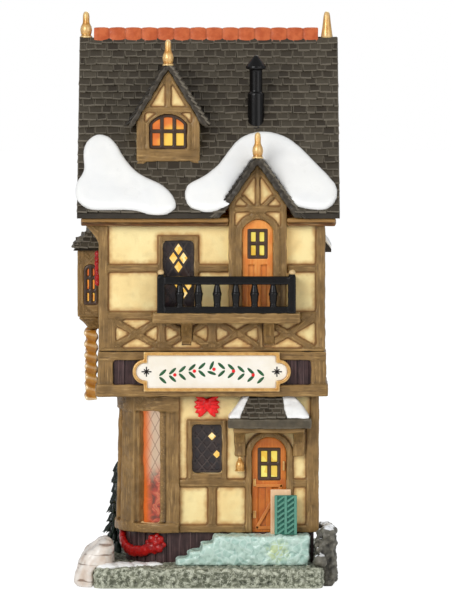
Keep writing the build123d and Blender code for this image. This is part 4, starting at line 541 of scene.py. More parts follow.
@dataclass(frozen=True)
class LitFilm(Coating):
    """Translucent film that the lamp shines through, in patches of millimetres."""

    bright: Colour
    warm: Colour
    dim: Colour
    cell: float
    lit_from: float
    glow: float
    hot: Point | None = None
    hot_reach: float = 7.0
    hot_share: float = 0.4
    hot_patch: float = 3.0
    hot_wander: float = 3.0
    warm_scale: float = 1.6
    warm_range: Range = (0.36, 0.62)
    shade_range: Range = (0.35, 0.65)
    lit_blur: float = 0.06
    unlit_share: float = 0.75

    def fill(self, g: Graph) -> None:
        """Builds the glow of the film, round its hot place where it has one."""
        each = g.part(g.cells(self.cell, out="Color"), "X")
        lit = g.mix(g.noise(self.cell * self.warm_scale, 3.0).step(*self.warm_range), self.bright, self.warm)
        colour = g.mix(each.step(self.lit_from, self.lit_from + self.lit_blur), self.dim, lit)
        if self.hot:
            away = g.gap(self.hot) + g.noise(self.hot_patch, 2.0) * self.hot_wander - self.hot_wander / 2
            far = away.step(self.hot_reach * self.hot_share, self.hot_reach)
            shade = g.mix(g.noise(self.cell, 2.0).step(*self.shade_range), self.warm, self.dim)
            colour = g.mix(far, self.bright, shade)
        g.close(g.mix(self.unlit_share, colour, BLACK), 0.35, EmissionColor=colour, EmissionStrength=self.glow,
                CoatWeight=0.3, CoatRoughness=0.1)


@dataclass(frozen=True)
class ShopFilm(Coating):
    """Film of the shop window: glow on its left, pale lattice above, red shapes below; lengths in mm."""

    glow: Colour = paint(228, 112, 44)
    glow_share: float = 0.9
    haze: Colour = paint(206, 178, 148)
    line: Colour = paint(136, 100, 82)
    line_share: float = 0.8
    line_range: Range = (0.02, 0.07)
    lines_across: float = 290.0
    lines_up: float = 145.0
    middle: float = 45.0
    middle_blur: float = 5.0
    edge: float = -25.0
    edge_blur: float = 4.2
    edge_wave_share: float = 0.25
    wave: float = 12.0
    wave_patch: float = 9.0
    toy_patch: float = 3.4
    unlit_share: float = 0.7
    strength: float = 0.7

    def toys(self, g: Graph) -> Wire:
        """Crowd of red, brown and pink shapes."""
        stops = [(0.3, paint(62, 36, 28)), (0.42, paint(112, 54, 34)), (0.52, paint(176, 60, 38)),
                 (0.6, paint(206, 112, 76)), (0.7, paint(150, 62, 40)), (0.78, paint(226, 196, 170))]
        return g.node("ShaderNodeValToRGB", {"stops": stops}, {"Fac": g.noise(self.toy_patch, 3.0, twist=0.6)})

    def lattice(self, g: Graph) -> Wire:
        """Thin crossed lines of the leading, so many to a metre."""
        spot = g.spot()
        across, up = g.part(spot, "X") * self.lines_across, g.part(spot, "Z") * self.lines_up
        first = (across + up).math("PINGPONG", across + up, 0.5)
        second = (across - up).math("PINGPONG", across - up, 0.5)
        return 1.0 - first.math("MINIMUM", first, second).step(*self.line_range)

    def fill(self, g: Graph) -> None:
        """Builds the picture on the film and its glow."""
        wave = g.noise(self.wave_patch, 2.0) * self.wave - self.wave / 2
        low = 1.0 - (g.level("Z") + wave).step(self.middle - self.middle_blur, self.middle + self.middle_blur)
        left = 1.0 - (g.level("X") + wave * self.edge_wave_share).step(self.edge, self.edge + self.edge_blur)
        pane = g.mix(self.lattice(g) * self.line_share, self.haze, self.line)
        colour = g.mix(left * self.glow_share, g.mix(low, pane, self.toys(g)), self.glow)
        g.close(g.mix(self.unlit_share, colour, BLACK), 0.3, EmissionColor=colour, EmissionStrength=self.strength,
                CoatWeight=0.4, CoatRoughness=0.08)


@dataclass(frozen=True)
class Clear(Coating):
    """Clear glass of one tint."""

    tint: Colour
    rough: float = 0.02
    rough_spread: float = 0.06
    index: float = 1.46

    def fill(self, g: Graph) -> None:
        """Builds the glass, with a faint wave in it."""
        rough = g.noise(6.0, 2.0) * self.rough_spread + self.rough
        g.close(self.tint, rough, g.noise(9.0, 1.0), 0.05, TransmissionWeight=1.0, IOR=self.index)


# In each finish the deep colour is painted shade in the hollows and the pale colour a painted highlight on the edges.
CREAM = Plaster("cream_plaster", paint(250, 229, 166), paint(245, 216, 150), paint(126, 84, 42), paint(252, 240, 202),
                mottle=11.0, rough=0.46, coat=0.15, grit=0.8, relief=0.14, hollow_shade_share=0.85)
OAK = Timber("oak_paint", paint(142, 110, 64), paint(120, 92, 52), paint(48, 32, 14), paint(182, 146, 92),
             mottle=7.0, relief=0.25, hollow_shade_share=0.95, coat=0.15, streak=paint(192, 155, 100), line=paint(76, 53, 27))
# Cornice paint: the colour of its top band is a painted highlight.
CORNICE = Moulding("cornice_paint", paint(112, 68, 24), paint(90, 54, 18), paint(42, 24, 8), paint(170, 130, 78),
                   mottle=7.0, relief=0.2, hollow_shade_share=0.9, edge_highlight_share=0.4, top_highlight=paint(168, 126, 68))
DOOR = Planks("door_paint", paint(212, 120, 42), paint(192, 100, 32), paint(84, 38, 12), paint(230, 156, 80),
              mottle=5.0, streak=paint(222, 140, 60), hollow_shade_share=0.9)
LIT_DOOR = Planks("lit_door_paint", paint(236, 152, 72), paint(226, 128, 52), paint(120, 52, 18),
                  paint(246, 190, 116), mottle=5.0, streak=paint(242, 168, 88), hollow_shade_share=0.9)
BOARDS = Planks("plum_boards", paint(70, 48, 47), paint(54, 37, 37), paint(22, 14, 15), paint(126, 101, 100),
                mottle=4.0, relief=0.2, streak=paint(120, 94, 92), across=0.5, length=16.0, coat=0.1)
SLATE = Shingles("grey_shingles", paint(70, 63, 52), paint(60, 53, 44), paint(22, 18, 14), paint(118, 110, 96),
                 rough=0.5, coat=0.05, grit=0.5, relief=0.2, edge_highlight_share=0.7, light=paint(82, 75, 63),
                 dark=paint(56, 49, 40))
UNDERLAY = Finish("roof_underlay", paint(58, 51, 42), paint(48, 42, 34), paint(24, 20, 16), paint(104, 95, 80),
                  coat=0.05)
PORCH = Finish("porch_slab", paint(92, 82, 65), paint(76, 68, 54), paint(30, 26, 20), paint(150, 140, 122), coat=0.15)
TERRACOTTA = Finish("terracotta_glaze", paint(204, 104, 58), paint(186, 86, 44), paint(84, 32, 14),
                    paint(216, 124, 78), mottle=3.0, coat=0.2, coat_rough=0.12, hollow_shade_share=0.5, edge_highlight_share=0.3)
TWIST = Finish("twist_gold", paint(206, 148, 62), paint(188, 124, 44), paint(112, 62, 18), paint(252, 236, 196),
               mottle=3.0, rough=0.3, coat=0.4, coat_rough=0.08, hollow_shade_share=1.0, edge_highlight_share=1.0, metal=0.2)
GOLD = Finish("gold_paint", paint(216, 164, 86), paint(190, 130, 54), paint(92, 52, 14), paint(254, 226, 164),
              mottle=2.0, rough=0.3, coat=0.5, coat_rough=0.08, metal=0.3, relief=0.06, hollow_shade_share=0.95,
              edge_highlight_share=0.7)
SNOW = Finish("snow_glaze", paint(247, 246, 242), paint(243, 243, 241), paint(186, 188, 194), paint(252, 252, 249),
              mottle=14.0, rough=0.3, coat=0.4, coat_rough=0.06, relief=0.05, hollow_shade_share=0.7, shine=0.4)
BANK = Drift("bank_snow", paint(238, 230, 220), paint(214, 194, 176), paint(128, 102, 84), paint(246, 242, 238),
             mottle=6.0, rough=0.34, coat=0.4, coat_rough=0.08, relief=0.2, hollow_shade_share=0.45)
JET = Finish("jet_glaze", paint(13, 12, 12), paint(18, 16, 15), paint(4, 4, 4), paint(40, 39, 40), mottle=3.0,
             rough=0.24, rough_spread=0.1, coat=0.1, coat_rough=0.05, relief=0.05, shine=0.2)
KNOB = Finish("knob_tan", paint(206, 172, 118), paint(188, 150, 96), paint(96, 66, 32), paint(238, 214, 168),
              mottle=2.0)
PINE = Finish("pine_glaze", paint(18, 27, 21), paint(12, 17, 13), paint(4, 6, 5), paint(46, 66, 50), mottle=2.5,
              rough=0.36, coat=0.15, edge_highlight_share=0.5, shine=0.3)
RED = Finish("ribbon_red", paint(250, 28, 30), paint(234, 18, 22), paint(120, 6, 8), paint(250, 96, 86), mottle=2.5,
             rough=0.28, coat=0.3, coat_rough=0.08, hollow_shade_share=0.95, edge_highlight_share=0.2)
SWAG = Finish("swag_red", paint(178, 20, 17), paint(142, 12, 12), paint(46, 4, 5), paint(214, 46, 38), mottle=2.0,
              rough=0.28, coat=0.2, coat_rough=0.08, hollow_shade_share=0.95, edge_highlight_share=0.25)
LEAF = Finish("leaf_green", paint(36, 92, 52), paint(28, 74, 40), paint(12, 36, 20), paint(96, 148, 96), mottle=2.0)
WHITE = Finish("sign_white", paint(246, 240, 228), paint(240, 231, 213), paint(196, 170, 128), paint(252, 250, 244),
               mottle=8.0, rough=0.36, coat=0.3)
INK = Finish("sign_ink", paint(34, 30, 30), paint(44, 38, 36), paint(16, 14, 14), paint(70, 66, 64), mottle=2.0)
LEAD = Finish("lattice_lead", paint(74, 64, 60), paint(56, 47, 44), paint(24, 20, 18), paint(112, 100, 94),
              mottle=2.0)
BAR = Finish("bar_brown", paint(66, 46, 34), paint(52, 36, 26), paint(26, 17, 12), paint(112, 84, 62), mottle=2.0)
ICE = Cobbles("ice_paving", paint(190, 217, 203), paint(174, 206, 193), paint(100, 138, 128), paint(220, 238, 230),
              rough=0.3, coat=0.5, coat_rough=0.08, grit=0.7, relief=0.18)
# Stone of the base, with painted wormlike highlights.
FLAG = Stone("grey_stone", paint(122, 125, 105), paint(92, 96, 78), paint(36, 38, 28), paint(218, 220, 198),
             mottle=4.0, rough=0.5, coat=0.15, grit=0.6, relief=0.3, hollow_shade_share=0.9, edge_highlight_share=0.9, fleck_share=0.35,
             wormlike_highlight=0.6)
ROCK = Stone("dark_rock", paint(98, 94, 83), paint(72, 69, 60), paint(30, 28, 24), paint(152, 148, 136), mottle=3.0,
             rough=0.5, coat=0.2, grit=0.6, relief=0.3, hollow_shade_share=0.9, fleck=paint(132, 128, 116), fleck_share=0.5,
             frost=0.95)
LIMED = Planks("limed_board", paint(232, 190, 148), paint(218, 170, 126), paint(150, 104, 62), paint(246, 220, 186),
               streak=paint(240, 206, 168))
TEAL = Planks("teal_board", paint(44, 108, 92), paint(32, 90, 78), paint(10, 42, 38), paint(112, 170, 148),
              streak=paint(78, 140, 120), hollow_shade_share=0.9, edge_highlight_share=0.6)
IVORY = Finish("holder_plastic", paint(232, 228, 214), paint(226, 221, 206), paint(170, 164, 148),
               paint(242, 240, 232), mottle=9.0, rough=0.45, coat=0.0, relief=0.04)
BRASS = Finish("contact_brass", paint(206, 168, 92), paint(188, 148, 72), paint(110, 82, 36), paint(240, 214, 150),
               mottle=3.0, rough=0.3, coat=0.0, metal=1.0, relief=0.03)
STEEL = Finish("spring_steel", paint(176, 178, 182), paint(160, 162, 168), paint(96, 98, 102), paint(216, 218, 222),
               mottle=3.0, rough=0.3, coat=0.0, metal=1.0, relief=0.03)
LIT_PANE = LitFilm("lit_panes", paint(244, 230, 112), paint(238, 204, 72), paint(232, 186, 56), 5.0, 0.3, 0.85)
LIT_ORIEL = LitFilm("lit_oriel", paint(252, 206, 84), paint(240, 146, 48), paint(212, 104, 36), 3.6, 0.35, 0.95)
LIT_AMBER = LitFilm("lit_amber", paint(250, 202, 80), paint(234, 130, 46), paint(214, 104, 32), 6.0, 0.45, 0.85,
                    (-12.4, -33.0, 177.5), 8.0)
LIT_LATTICE = LitFilm("lit_lattice", paint(64, 40, 30), paint(44, 26, 24), paint(38, 26, 28), 3.0, 0.5, 0.35)
LIT_SPOT = LitFilm("lit_spots", paint(254, 228, 164), paint(250, 204, 108), paint(244, 190, 76), 1.6, 0.3, 0.95)
LIT_SHOP = ShopFilm("lit_shop")
CLEAR = Clear("bulb_clear", (0.97, 0.97, 0.95))


def copied(*nodes: str) -> bmesh.types.BMesh:
    """Merged copy of some nodes' meshes.

    Args:
        nodes: Names of the nodes.

    Returns:
        A new bmesh with their faces joined at the edges.
    """
    bm = bmesh.new()
    for name in nodes:
        bm.from_mesh(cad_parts[name].data)
    bmesh.ops.remove_doubles(bm, verts=bm.verts, dist=WELD * MM)
    return bm


def islands(bm: bmesh.types.BMesh) -> list[list[bmesh.types.BMVert]]:
    """Vertices of each separate shape in a bmesh."""
    left = set(bm.verts)
    groups = []
    for seed in bm.verts:
        if seed not in left:
            continue
        left.discard(seed)
        group = [seed]
        for vert in group:
            for edge in vert.link_edges:
                other = edge.other_vert(vert)
                if other in left:
                    left.discard(other)
                    group.append(other)
        groups.append(group)
    return groups


def to_mesh(bm: bmesh.types.BMesh, name: str, smooth: bool = True) -> bpy.types.Mesh:
    """Mesh of a bmesh, which is freed.

    Args:
        bm: The shape.
        name: Name of the mesh.
        smooth: Whether its faces are shaded smooth.

    Returns:
        The new mesh.
    """
    mesh = bpy.data.meshes.new(name)
    bm.to_mesh(mesh)
    bm.free()
    if smooth:
        mesh.shade_smooth()
    return mesh


def mark_edges(mesh: bpy.types.Mesh, blur: int = 2) -> None:
    """Writes how far each vertex stands out from its neighbours: above 0 on edges, below 0 in hollows.

    Args:
        mesh: The mesh that gets the attribute.
        blur: How many times it is evened out.
    """
    count = len(mesh.vertices)
    place = np.empty(count * 3, np.float32)
    mesh.vertices.foreach_get("co", place)
    facing = np.empty(count * 3, np.float32)
    mesh.vertex_normals.foreach_get("vector", facing)
    pairs = np.empty(len(mesh.edges) * 2, np.int32)
    mesh.edges.foreach_get("vertices", pairs)
    place, facing, pairs = place.reshape(-1, 3), facing.reshape(-1, 3), pairs.reshape(-1, 2)
    first, second = pairs[:, 0], pairs[:, 1]
    step = place[second] - place[first]
    length = np.maximum(np.linalg.norm(step, axis=1), 1e-9)
    total, links = np.zeros(count), np.zeros(count)
    np.add.at(total, first, -(step * facing[first]).sum(1) / length)
    np.add.at(total, second, (step * facing[second]).sum(1) / length)
    np.add.at(links, first, 1)
    np.add.at(links, second, 1)
    value = total / np.maximum(links, 1)
    for _ in range(blur):
        spread = np.zeros(count)
        np.add.at(spread, first, value[second])
        np.add.at(spread, second, value[first])
        value = (value + spread / np.maximum(links, 1)) / 2
    layer = mesh.attributes.get("edge") or mesh.attributes.new("edge", "FLOAT", "POINT")
    layer.data.foreach_set("value", value.astype(np.float32))


def mark_near(mesh: bpy.types.Mesh, nodes: Sequence[str], reach: float = 3.4) -> None:
    """Writes how near each vertex is to some nodes.

    Args:
        mesh: The mesh that gets the attribute.
        nodes: Names of the nodes.
        reach: Distance in millimetres at which the value falls to 0.
    """
    bm = copied(*nodes)
    tree = BVHTree.FromBMesh(bm)
    bm.free()
    value = []
    for vert in mesh.vertices:
        gap = tree.find_nearest(vert.co, reach * MM)[3]
        value.append(0.0 if gap is None else 1 - gap / (reach * MM))
    mesh.attributes.new("near", "FLOAT", "POINT").data.foreach_set("value", value)


def mark_along(mesh: bpy.types.Mesh, nodes: Sequence[str], depth: float = 0.5, farthest: float = 0.04) -> None:
    """Writes the direction in which the beam at each vertex runs.

    Args:
        mesh: The mesh that gets the attribute.
        nodes: Nodes that the mesh was cast from.
        depth: How far below the surface it is measured, in millimetres.
        farthest: How far it is measured each way, in metres.
    """
    bm = copied(*nodes)
    tree = BVHTree.FromBMesh(bm)
    bm.free()
    ways = [Vector(way).normalized() for way in
            ((0, 0, 1), (1, 0, 0), (0, 1, 0), (1, 0, 1), (1, 0, -1), (0, 1, 1), (0, 1, -1))]
    value = []
    for vert, facing in zip(mesh.vertices, mesh.vertex_normals):
        inner = vert.co - facing.vector * (depth * MM)
        best, grain = 0.0, ways[0]
        for way in ways:
            ahead = tree.ray_cast(inner, way, farthest)[3]
            back = tree.ray_cast(inner, -way, farthest)[3]
            reach = (farthest if ahead is None else ahead) + (farthest if back is None else back)
            if reach > best:
                best, grain = reach, way
        value.extend(grain)
    mesh.attributes.new("along", "FLOAT_VECTOR", "POINT").data.foreach_set("vector", value)


@dataclass(frozen=True)
class Casting:
    """How solids are cast again as one soft skin, with lengths in millimetres."""

    grain: float
    passes: int = 2
    wander: float = 0.0
    size: float = 6.0
    foot: float | None = None
    swell: float = 0.0

    def skin(self, bm: bmesh.types.BMesh, name: str) -> bpy.types.Mesh:
        """Casts a bmesh, which is freed.

        Args:
            bm: Closed shapes.
            name: Name of the new mesh.

        Returns:
            An even, smoothed mesh round all of them, with its edges marked.
        """
        rough = to_mesh(bm, name)
        body = bpy.data.objects.new(name, rough)
        bpy.context.scene.collection.objects.link(body)
        mould = body.modifiers.new("mould", "REMESH")
        mould.mode = "VOXEL"
        mould.voxel_size = self.grain * MM
        mesh = bpy.data.meshes.new_from_object(body.evaluated_get(bpy.context.evaluated_depsgraph_get()))
        bpy.data.objects.remove(body)
        bpy.data.meshes.remove(rough)
        bm = bmesh.new()
        bm.from_mesh(mesh)
        for _ in range(self.passes):
            bmesh.ops.smooth_vert(bm, verts=bm.verts, factor=0.5, use_axis_x=True, use_axis_y=True, use_axis_z=True)
        if self.wander or self.swell:
            bm.normal_update()
            moves = [noise.fractal(vert.co / (self.size * MM), 1.0, 2.0, 3) for vert in bm.verts]
            for vert, move in zip(bm.verts, moves):
                if self.foot is None or vert.co.z > self.foot * MM:
                    vert.co += vert.normal * ((move * self.wander + self.swell) * MM)
        bpy.data.meshes.remove(mesh)
        mesh = to_mesh(bm, name)
        mesh.materials.clear()
        mark_edges(mesh)
        return mesh


def place(name: str, mesh: bpy.types.Mesh, finish: Coating, stands_for: Sequence[str] = (),
          slot: str | None = None, body: str = HOUSE) -> bpy.types.Object:
    """Adds one finished piece.

    Args:
        name: Name of the piece.
        mesh: Its mesh, with its place in it.
        finish: Its finish.
        stands_for: Nodes that it replaces.
        slot: Material slot, if not that of the first node; not used.
        body: Body that it rides on.

    Returns:
        The new object.
    """
    mesh.materials.append(finish.material())
    piece = bpy.data.objects.new(name, mesh)
    bpy.context.scene.collection.objects.link(piece)
    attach(piece, body)
    if stands_for:
        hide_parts(*stands_for)
    log.info("%s: %d faces", name, len(mesh.polygons))
    return piece


def dress(finish: Coating, *nodes: str) -> None:
    """Gives nodes that stay as they are a finish."""
    for node in nodes:
        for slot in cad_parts[node].material_slots:
            slot.material = finish.material()
        log.info("%s: dressed", node)


def recast(node: str, casting: Casting, finish: Finish, near: Sequence[str] = (), along: bool = False) -> None:
    """Casts one node again and dresses it.

    Args:
        node: Name of the node.
        casting: How it is cast.
        finish: Its finish.
        near: Nodes beside which it gets painted shade.
        along: Whether its grain follows its beams.
    """
    mesh = casting.skin(copied(node), node + "_cast")
    if near:
        mark_near(mesh, near)
    if along:
        mark_along(mesh, [node])
    place(node + "_cast", mesh, finish, [node])


def frame_of(start: Vector, run: Vector, up: Vector, out: Vector, size: Sequence[float]) -> Matrix:
    """Matrix that turns a unit cube into a block.

    Args:
        start: Middle of the block in millimetres.
        run: Direction of its width.
        up: Direction of its height.
        out: Direction of its thickness.
        size: Width, height and thickness in millimetres.

    Returns:
        The matrix, in metres.
    """
    turn = Matrix((run, up, out)).transposed().to_4x4()
    return Matrix.Translation(start * MM) @ turn @ Matrix.Diagonal((*(value * MM for value in size), 1.0))


def bevelled(bm: bmesh.types.BMesh, width: float, segments: int = 1) -> None:
    """Bevels all edges of a bmesh by a width in millimetres."""
    bmesh.ops.bevel(bm, geom=bm.edges[:], offset=width * MM, offset_type="OFFSET", affect="EDGES", segments=segments,
                    profile=0.5, material=-1)


def box_of(node: str) -> tuple[Vector, Vector]:
    """Lowest and highest corner of a node's box, in millimetres."""
    low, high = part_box(node)
    return low / MM, high / MM


def span_of(group: Iterable[bmesh.types.BMVert]) -> tuple[Vector, Vector]:
    """Lowest and highest corner of the box round some vertices, in metres."""
    places = list(zip(*(vert.co for vert in group)))
    return Vector([min(values) for values in places]), Vector([max(values) for values in places])


def shift(x: float, y: float, z: float) -> Matrix:
    """Matrix of a move in millimetres."""
    return Matrix.Translation(Vector((x, y, z)) * MM)


def block(bm: bmesh.types.BMesh, middle: Vector, run: Vector, up: Vector, out: Vector,
          size: Sequence[float]) -> list[bmesh.types.BMVert]:
    """Adds one block.

    Args:
        bm: The bmesh that gets it.
        middle: Its middle in millimetres.
        run: Direction of its width.
        up: Direction of its height.
        out: Direction of its thickness.
        size: Width, height and thickness in millimetres.

    Returns:
        Its eight vertices.
    """
    return bmesh.ops.create_cube(bm, size=1.0, matrix=frame_of(middle, run, up, out, size))["verts"]


def push(mesh: bpy.types.Mesh, depth: Callable[[Vector], float]) -> None:
    """Moves each vertex of a mesh along its normal.

    Args:
        mesh: The mesh.
        depth: Gives the millimetres outwards at a place.
    """
    normals = [item.vector.copy() for item in mesh.vertex_normals]
    for vert, facing in zip(mesh.vertices, normals):
        vert.co += facing * (depth(vert.co) * MM)


@dataclass(frozen=True)
class Slope:
    """One flat side of a roof between the ends of its eave and of its top, in millimetres."""

    foot: tuple[Vector, Vector]
    top: tuple[Vector, Vector]
    outward: Vector


@dataclass(frozen=True)
class Bay:
    """Roofed bay that stands through the main roof; lengths in millimetres."""

    node: str
    half: float
    rise: float
    wall: float
    start: float

    def holds(self, spot: Vector, flat: float) -> bool:
        """Whether a place on the main roof lies inside it.

        Args:
            spot: The place.
            flat: Half width of the flat on its point.

        Returns:
            True for a place that the bay covers.
        """
        low, high = box_of(self.node)
        fall = self.rise / self.half
        apex = high.z + flat * fall
        if spot.z < self.start:
            return False
        reach = (apex - spot.z) / fall if spot.z > apex - self.rise else self.wall
        return abs(spot.x - (low.x + high.x) / 2) < reach


@dataclass
class Roofing:
    """Shingles on every roof, ridge tiles, finials and the flue; lengths in millimetres."""

    course: float = 3.3
    width: float = 4.6
    thick: float = 0.8
    gap: float = 0.1
    border: float = 0.24
    bevel: float = 0.18
    broad: float = 3.0
    lap_share: float = 1.3
    seat_share: float = 0.55
    small_share: float = 0.72
    least_share: float = 0.3
    cut_share: float = 0.17
    tilt_shares: Range = (0.7, 1.2)
    drop_shares: Range = (-0.1, 0.06)
    swing: float = 0.07
    side_wander: float = 0.16
    end_wander: float = 0.22
    seed: int = 7
    left: float = -51.4
    right: float = 53.0
    run: float = 48.0
    flat: float = 1.4
    eave: float = 149.2
    apex: float = 220.0
    pitch: float = 1.475
    gable: Bay = Bay("gable_roof", 18.0, 25.8, 16.0, 0.0)
    dormer: Bay = Bay("dormer_roof", 16.0, 26.2, 10.6, 169.3)
    bay_point_share: float = 0.4
    bay_overrun: float = 1.0
    porch_foot: tuple[Point, Point] = ((13.9, -45.4, 66.9), (31.6, -45.4, 66.9))
    porch_head: tuple[Range, Range] = ((17.4, -38.0), (30.1, -38.0))
    oriel_lift: float = 0.8
    oriel_top: float = 3.0
    oriel_inset_share: float = 0.17
    tiles: int = 14
    tile_hump: float = 0.25
    tile_skirt: float = 1.1
    joint_depth: float = 0.22
    joint_width: float = 0.4
    turns: int = 24
    bottle_shares: tuple[Range, ...] = (
        (0.0, 0.0), (1.0, 0.0), (1.0, 0.05), (0.8, 0.09), (0.92, 0.18), (1.0, 0.3), (0.9, 0.42), (0.66, 0.52),
        (0.56, 0.6), (0.57, 0.8), (0.5, 0.91), (0.32, 0.98), (0.0, 1.0))
    cone_shares: tuple[Range, ...] = (
        (0.0, 0.0), (0.98, 0.0), (1.0, 0.05), (0.84, 0.28), (0.68, 0.56), (0.56, 0.82), (0.44, 0.94), (0.25, 0.99),
        (0.0, 1.0))

    def lay(self, bm: bmesh.types.BMesh, slope: Slope, luck: random.Random, share: float,
            bays: Sequence[Bay]) -> None:
        """Lays courses of shingles up one slope.

        Args:
            bm: The bmesh that gets them.
            slope: The side of the roof.
            luck: Source of small differences.
            share: Size of the shingles against those of the main roof.
            bays: Bays that stand through the slope.
        """
        course, width = self.course * share, self.width * share
        tone = bm.verts.layers.float.get("tone") or bm.verts.layers.float.new("tone")
        low_a, low_b = slope.foot
        top_a, top_b = slope.top
        run = (low_b - low_a).normalized()
        rise = (top_a + top_b - low_a - low_b) / 2
        rise -= run * rise.dot(run)
        up = rise.normalized()
        out = run.cross(up)
        out = out if out.dot(slope.outward) > 0 else -out
        courses = max(2, round(rise.length / course))
        step = rise.length / courses
        for number in range(courses):
            start = low_a.lerp(top_a, number / courses)
            length = (low_b.lerp(top_b, number / courses) - start).dot(run)
            count = max(1, round(length / width))
            pitch = length / count
            cuts = [0.0]
            at = pitch * (0.5 if number % 2 else 1.0)
            while at < length - self.least_share * pitch:
                cuts.append(at + luck.uniform(-self.cut_share, self.cut_share) * pitch)
                at += pitch
            cuts.append(length)
            tall = step * (1.0 if number == courses - 1 else self.lap_share)
            for begin, end in zip(cuts, cuts[1:]):
                tilt = math.atan2(self.thick * luck.uniform(*self.tilt_shares), step)
                lean = up * math.cos(tilt) - out * math.sin(tilt)
                face = out * math.cos(tilt) + up * math.sin(tilt)
                drop = luck.uniform(*self.drop_shares) * step
                middle = start + run * ((begin + end) / 2) + up * (tall / 2 + drop)
                middle += out * (self.thick * self.seat_share)
                if middle.y < 0 and any(bay.holds(middle, self.flat) for bay in bays):
                    continue
                size = (end - begin - self.gap, tall, self.thick)
                swing = Matrix.Rotation(luck.uniform(-self.swing, self.swing), 3, face)
                shingle = block(bm, middle, swing @ run, swing @ lean, face, size)
                shade = luck.random()
                for vert in shingle:
                    vert[tone] = shade
                    aside = luck.uniform(-self.side_wander, self.side_wander)
                    ahead = luck.uniform(-self.end_wander, self.end_wander)
                    vert.co += (run * aside + lean * ahead) * MM

    def rake(self, height: float) -> float:
        """Front of the main roof's surface at a height."""
        return -(self.apex - height) / self.pitch

    def main_slopes(self) -> list[Slope]:
        """Front and rear of the main roof."""
        ridge = self.apex - self.flat * self.pitch
        slopes = []
        for side in (-1, 1):
            foot = [Vector((x, side * self.run, self.eave)) for x in (self.left, self.right)]
            top = [Vector((x, side * self.flat, ridge)) for x in (self.left, self.right)]
            slopes.append(Slope(tuple(foot), tuple(top), Vector((0, side, 1))))
        return slopes

    def bay_slopes(self, bay: Bay) -> list[Slope]:
        """Both sides of a bay's roof, which runs back into the main roof."""
        low, high = box_of(bay.node)
        middle, top = (low.x + high.x) / 2, high.z
        foot = top + self.flat * bay.rise / bay.half - bay.rise
        slopes = []
        for side in (-1, 1):
            ends = []
            for x, z in ((middle + side * bay.half, foot), (middle + side * self.flat * self.bay_point_share, top)):
                ends.append((Vector((x, low.y, z)), Vector((x, self.rake(z) + self.bay_overrun, z))))
            slopes.append(Slope(*ends, Vector((side, 0, 1))))
        return slopes

    def porch_slopes(self) -> list[Slope]:
        """Front of the porch's roof, between its snow."""
        top = box_of("porch_roof")[1].z
        head = [Vector((*place, top)) for place in self.porch_head]
        return [Slope(tuple(Vector(place) for place in self.porch_foot), tuple(head), Vector((0, -1, 1)))]

    def oriel_slopes(self) -> list[Slope]:
        """Three sides of the oriel's roof, which stands against the wall."""
        low, high = box_of("oriel_roof")
        inset = (high.y - low.y) * self.oriel_inset_share
        near = high.x - self.oriel_top
        foot = [Vector((x, y, low.z + self.oriel_lift)) for x, y in
                ((high.x, high.y), (low.x, high.y), (low.x, low.y), (high.x, low.y))]
        top = [Vector((x, y, high.z)) for x, y in
               ((high.x, high.y - inset), (near, high.y - inset), (near, low.y + inset), (high.x, low.y + inset))]
        outward = (Vector((0, 1, 1)), Vector((-1, 0, 1)), Vector((0, -1, 1)))
        return [Slope((foot[n], foot[n + 1]), (top[n], top[n + 1]), way) for n, way in enumerate(outward)]

    def slopes(self) -> dict[str, list[Slope]]:
        """All slopes of the house, by the node that carries them."""
        return {"main_roof": self.main_slopes(), "gable_roof": self.bay_slopes(self.gable),
                "dormer_roof": self.bay_slopes(self.dormer), "porch_roof": self.porch_slopes(),
                "oriel_roof": self.oriel_slopes()}

    def shingle(self) -> None:
        """Lays the shingles of every slope."""
        luck = random.Random(self.seed)
        for node, slopes in self.slopes().items():
            main = node == "main_roof"
            bm = bmesh.new()
            share, bays = (1.0, (self.gable, self.dormer)) if main else (self.small_share, ())
            for slope in slopes:
                self.lay(bm, slope, luck, share, bays)
            bevelled(bm, self.bevel)
            wide = [each for each in bm.faces if each.calc_area() > self.broad * MM * MM]
            bmesh.ops.inset_individual(bm, faces=wide, thickness=self.border * MM)
            mesh = to_mesh(bm, node + "_shingles", smooth=False)
            mark_edges(mesh, 0)
            place(node + "_shingles", mesh, SLATE, slot="roof_shingle")

    def ridge(self) -> bpy.types.Mesh:
        """Ridge tiles in one row, each a shallow hump with a joint beside it."""
        low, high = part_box("ridge_tiles")
        step = (high.x - low.x) / self.tiles

        def dip(at: Vector) -> float:
            """Millimetres outwards at a place, below 0 and least at a joint."""
            share = (at.x - low.x) / step % 1.0
            joint = min(share, 1 - share) * step / MM
            hump = self.tile_hump * (1 - math.sin(math.pi * share))
            return -hump - self.joint_depth * math.exp(-(joint / self.joint_width) ** 2)

        casting = Casting(grain=0.34, wander=0.1, size=4.0)
        mesh = casting.skin(copied("ridge_tiles"), "ridge_tiles_cast")
        push(mesh, dip)
        for vert in mesh.vertices:
            vert.co.z = max(vert.co.z, low.z + self.tile_skirt * MM)
        mark_edges(mesh)
        return mesh

    def turned(self) -> bmesh.types.BMesh:
        """Finials turned from their profiles, the right end of the ridge a plain cone."""
        bm = bmesh.new()
        solids = copied("finials")
        for group in islands(solids):
            low, high = span_of(group)
            middle, radius = (low + high) / 2, (high.x - low.x) / 2
            at_right = middle.x > self.right * MM / 2 and middle.z > self.apex * MM
            points = [bm.verts.new((middle.x + radius * wide, middle.y, low.z + (high.z - low.z) * up))
                      for wide, up in (self.cone_shares if at_right else self.bottle_shares)]
            edges = [bm.edges.new(pair) for pair in zip(points, points[1:])]
            bmesh.ops.spin(bm, geom=points + edges, cent=middle, axis=UP, angle=math.tau, steps=self.turns,
                           use_merge=True)
        solids.free()
        bmesh.ops.remove_doubles(bm, verts=bm.verts, dist=WELD / 2 * MM)
        bmesh.ops.recalc_face_normals(bm, faces=bm.faces)
        return bm

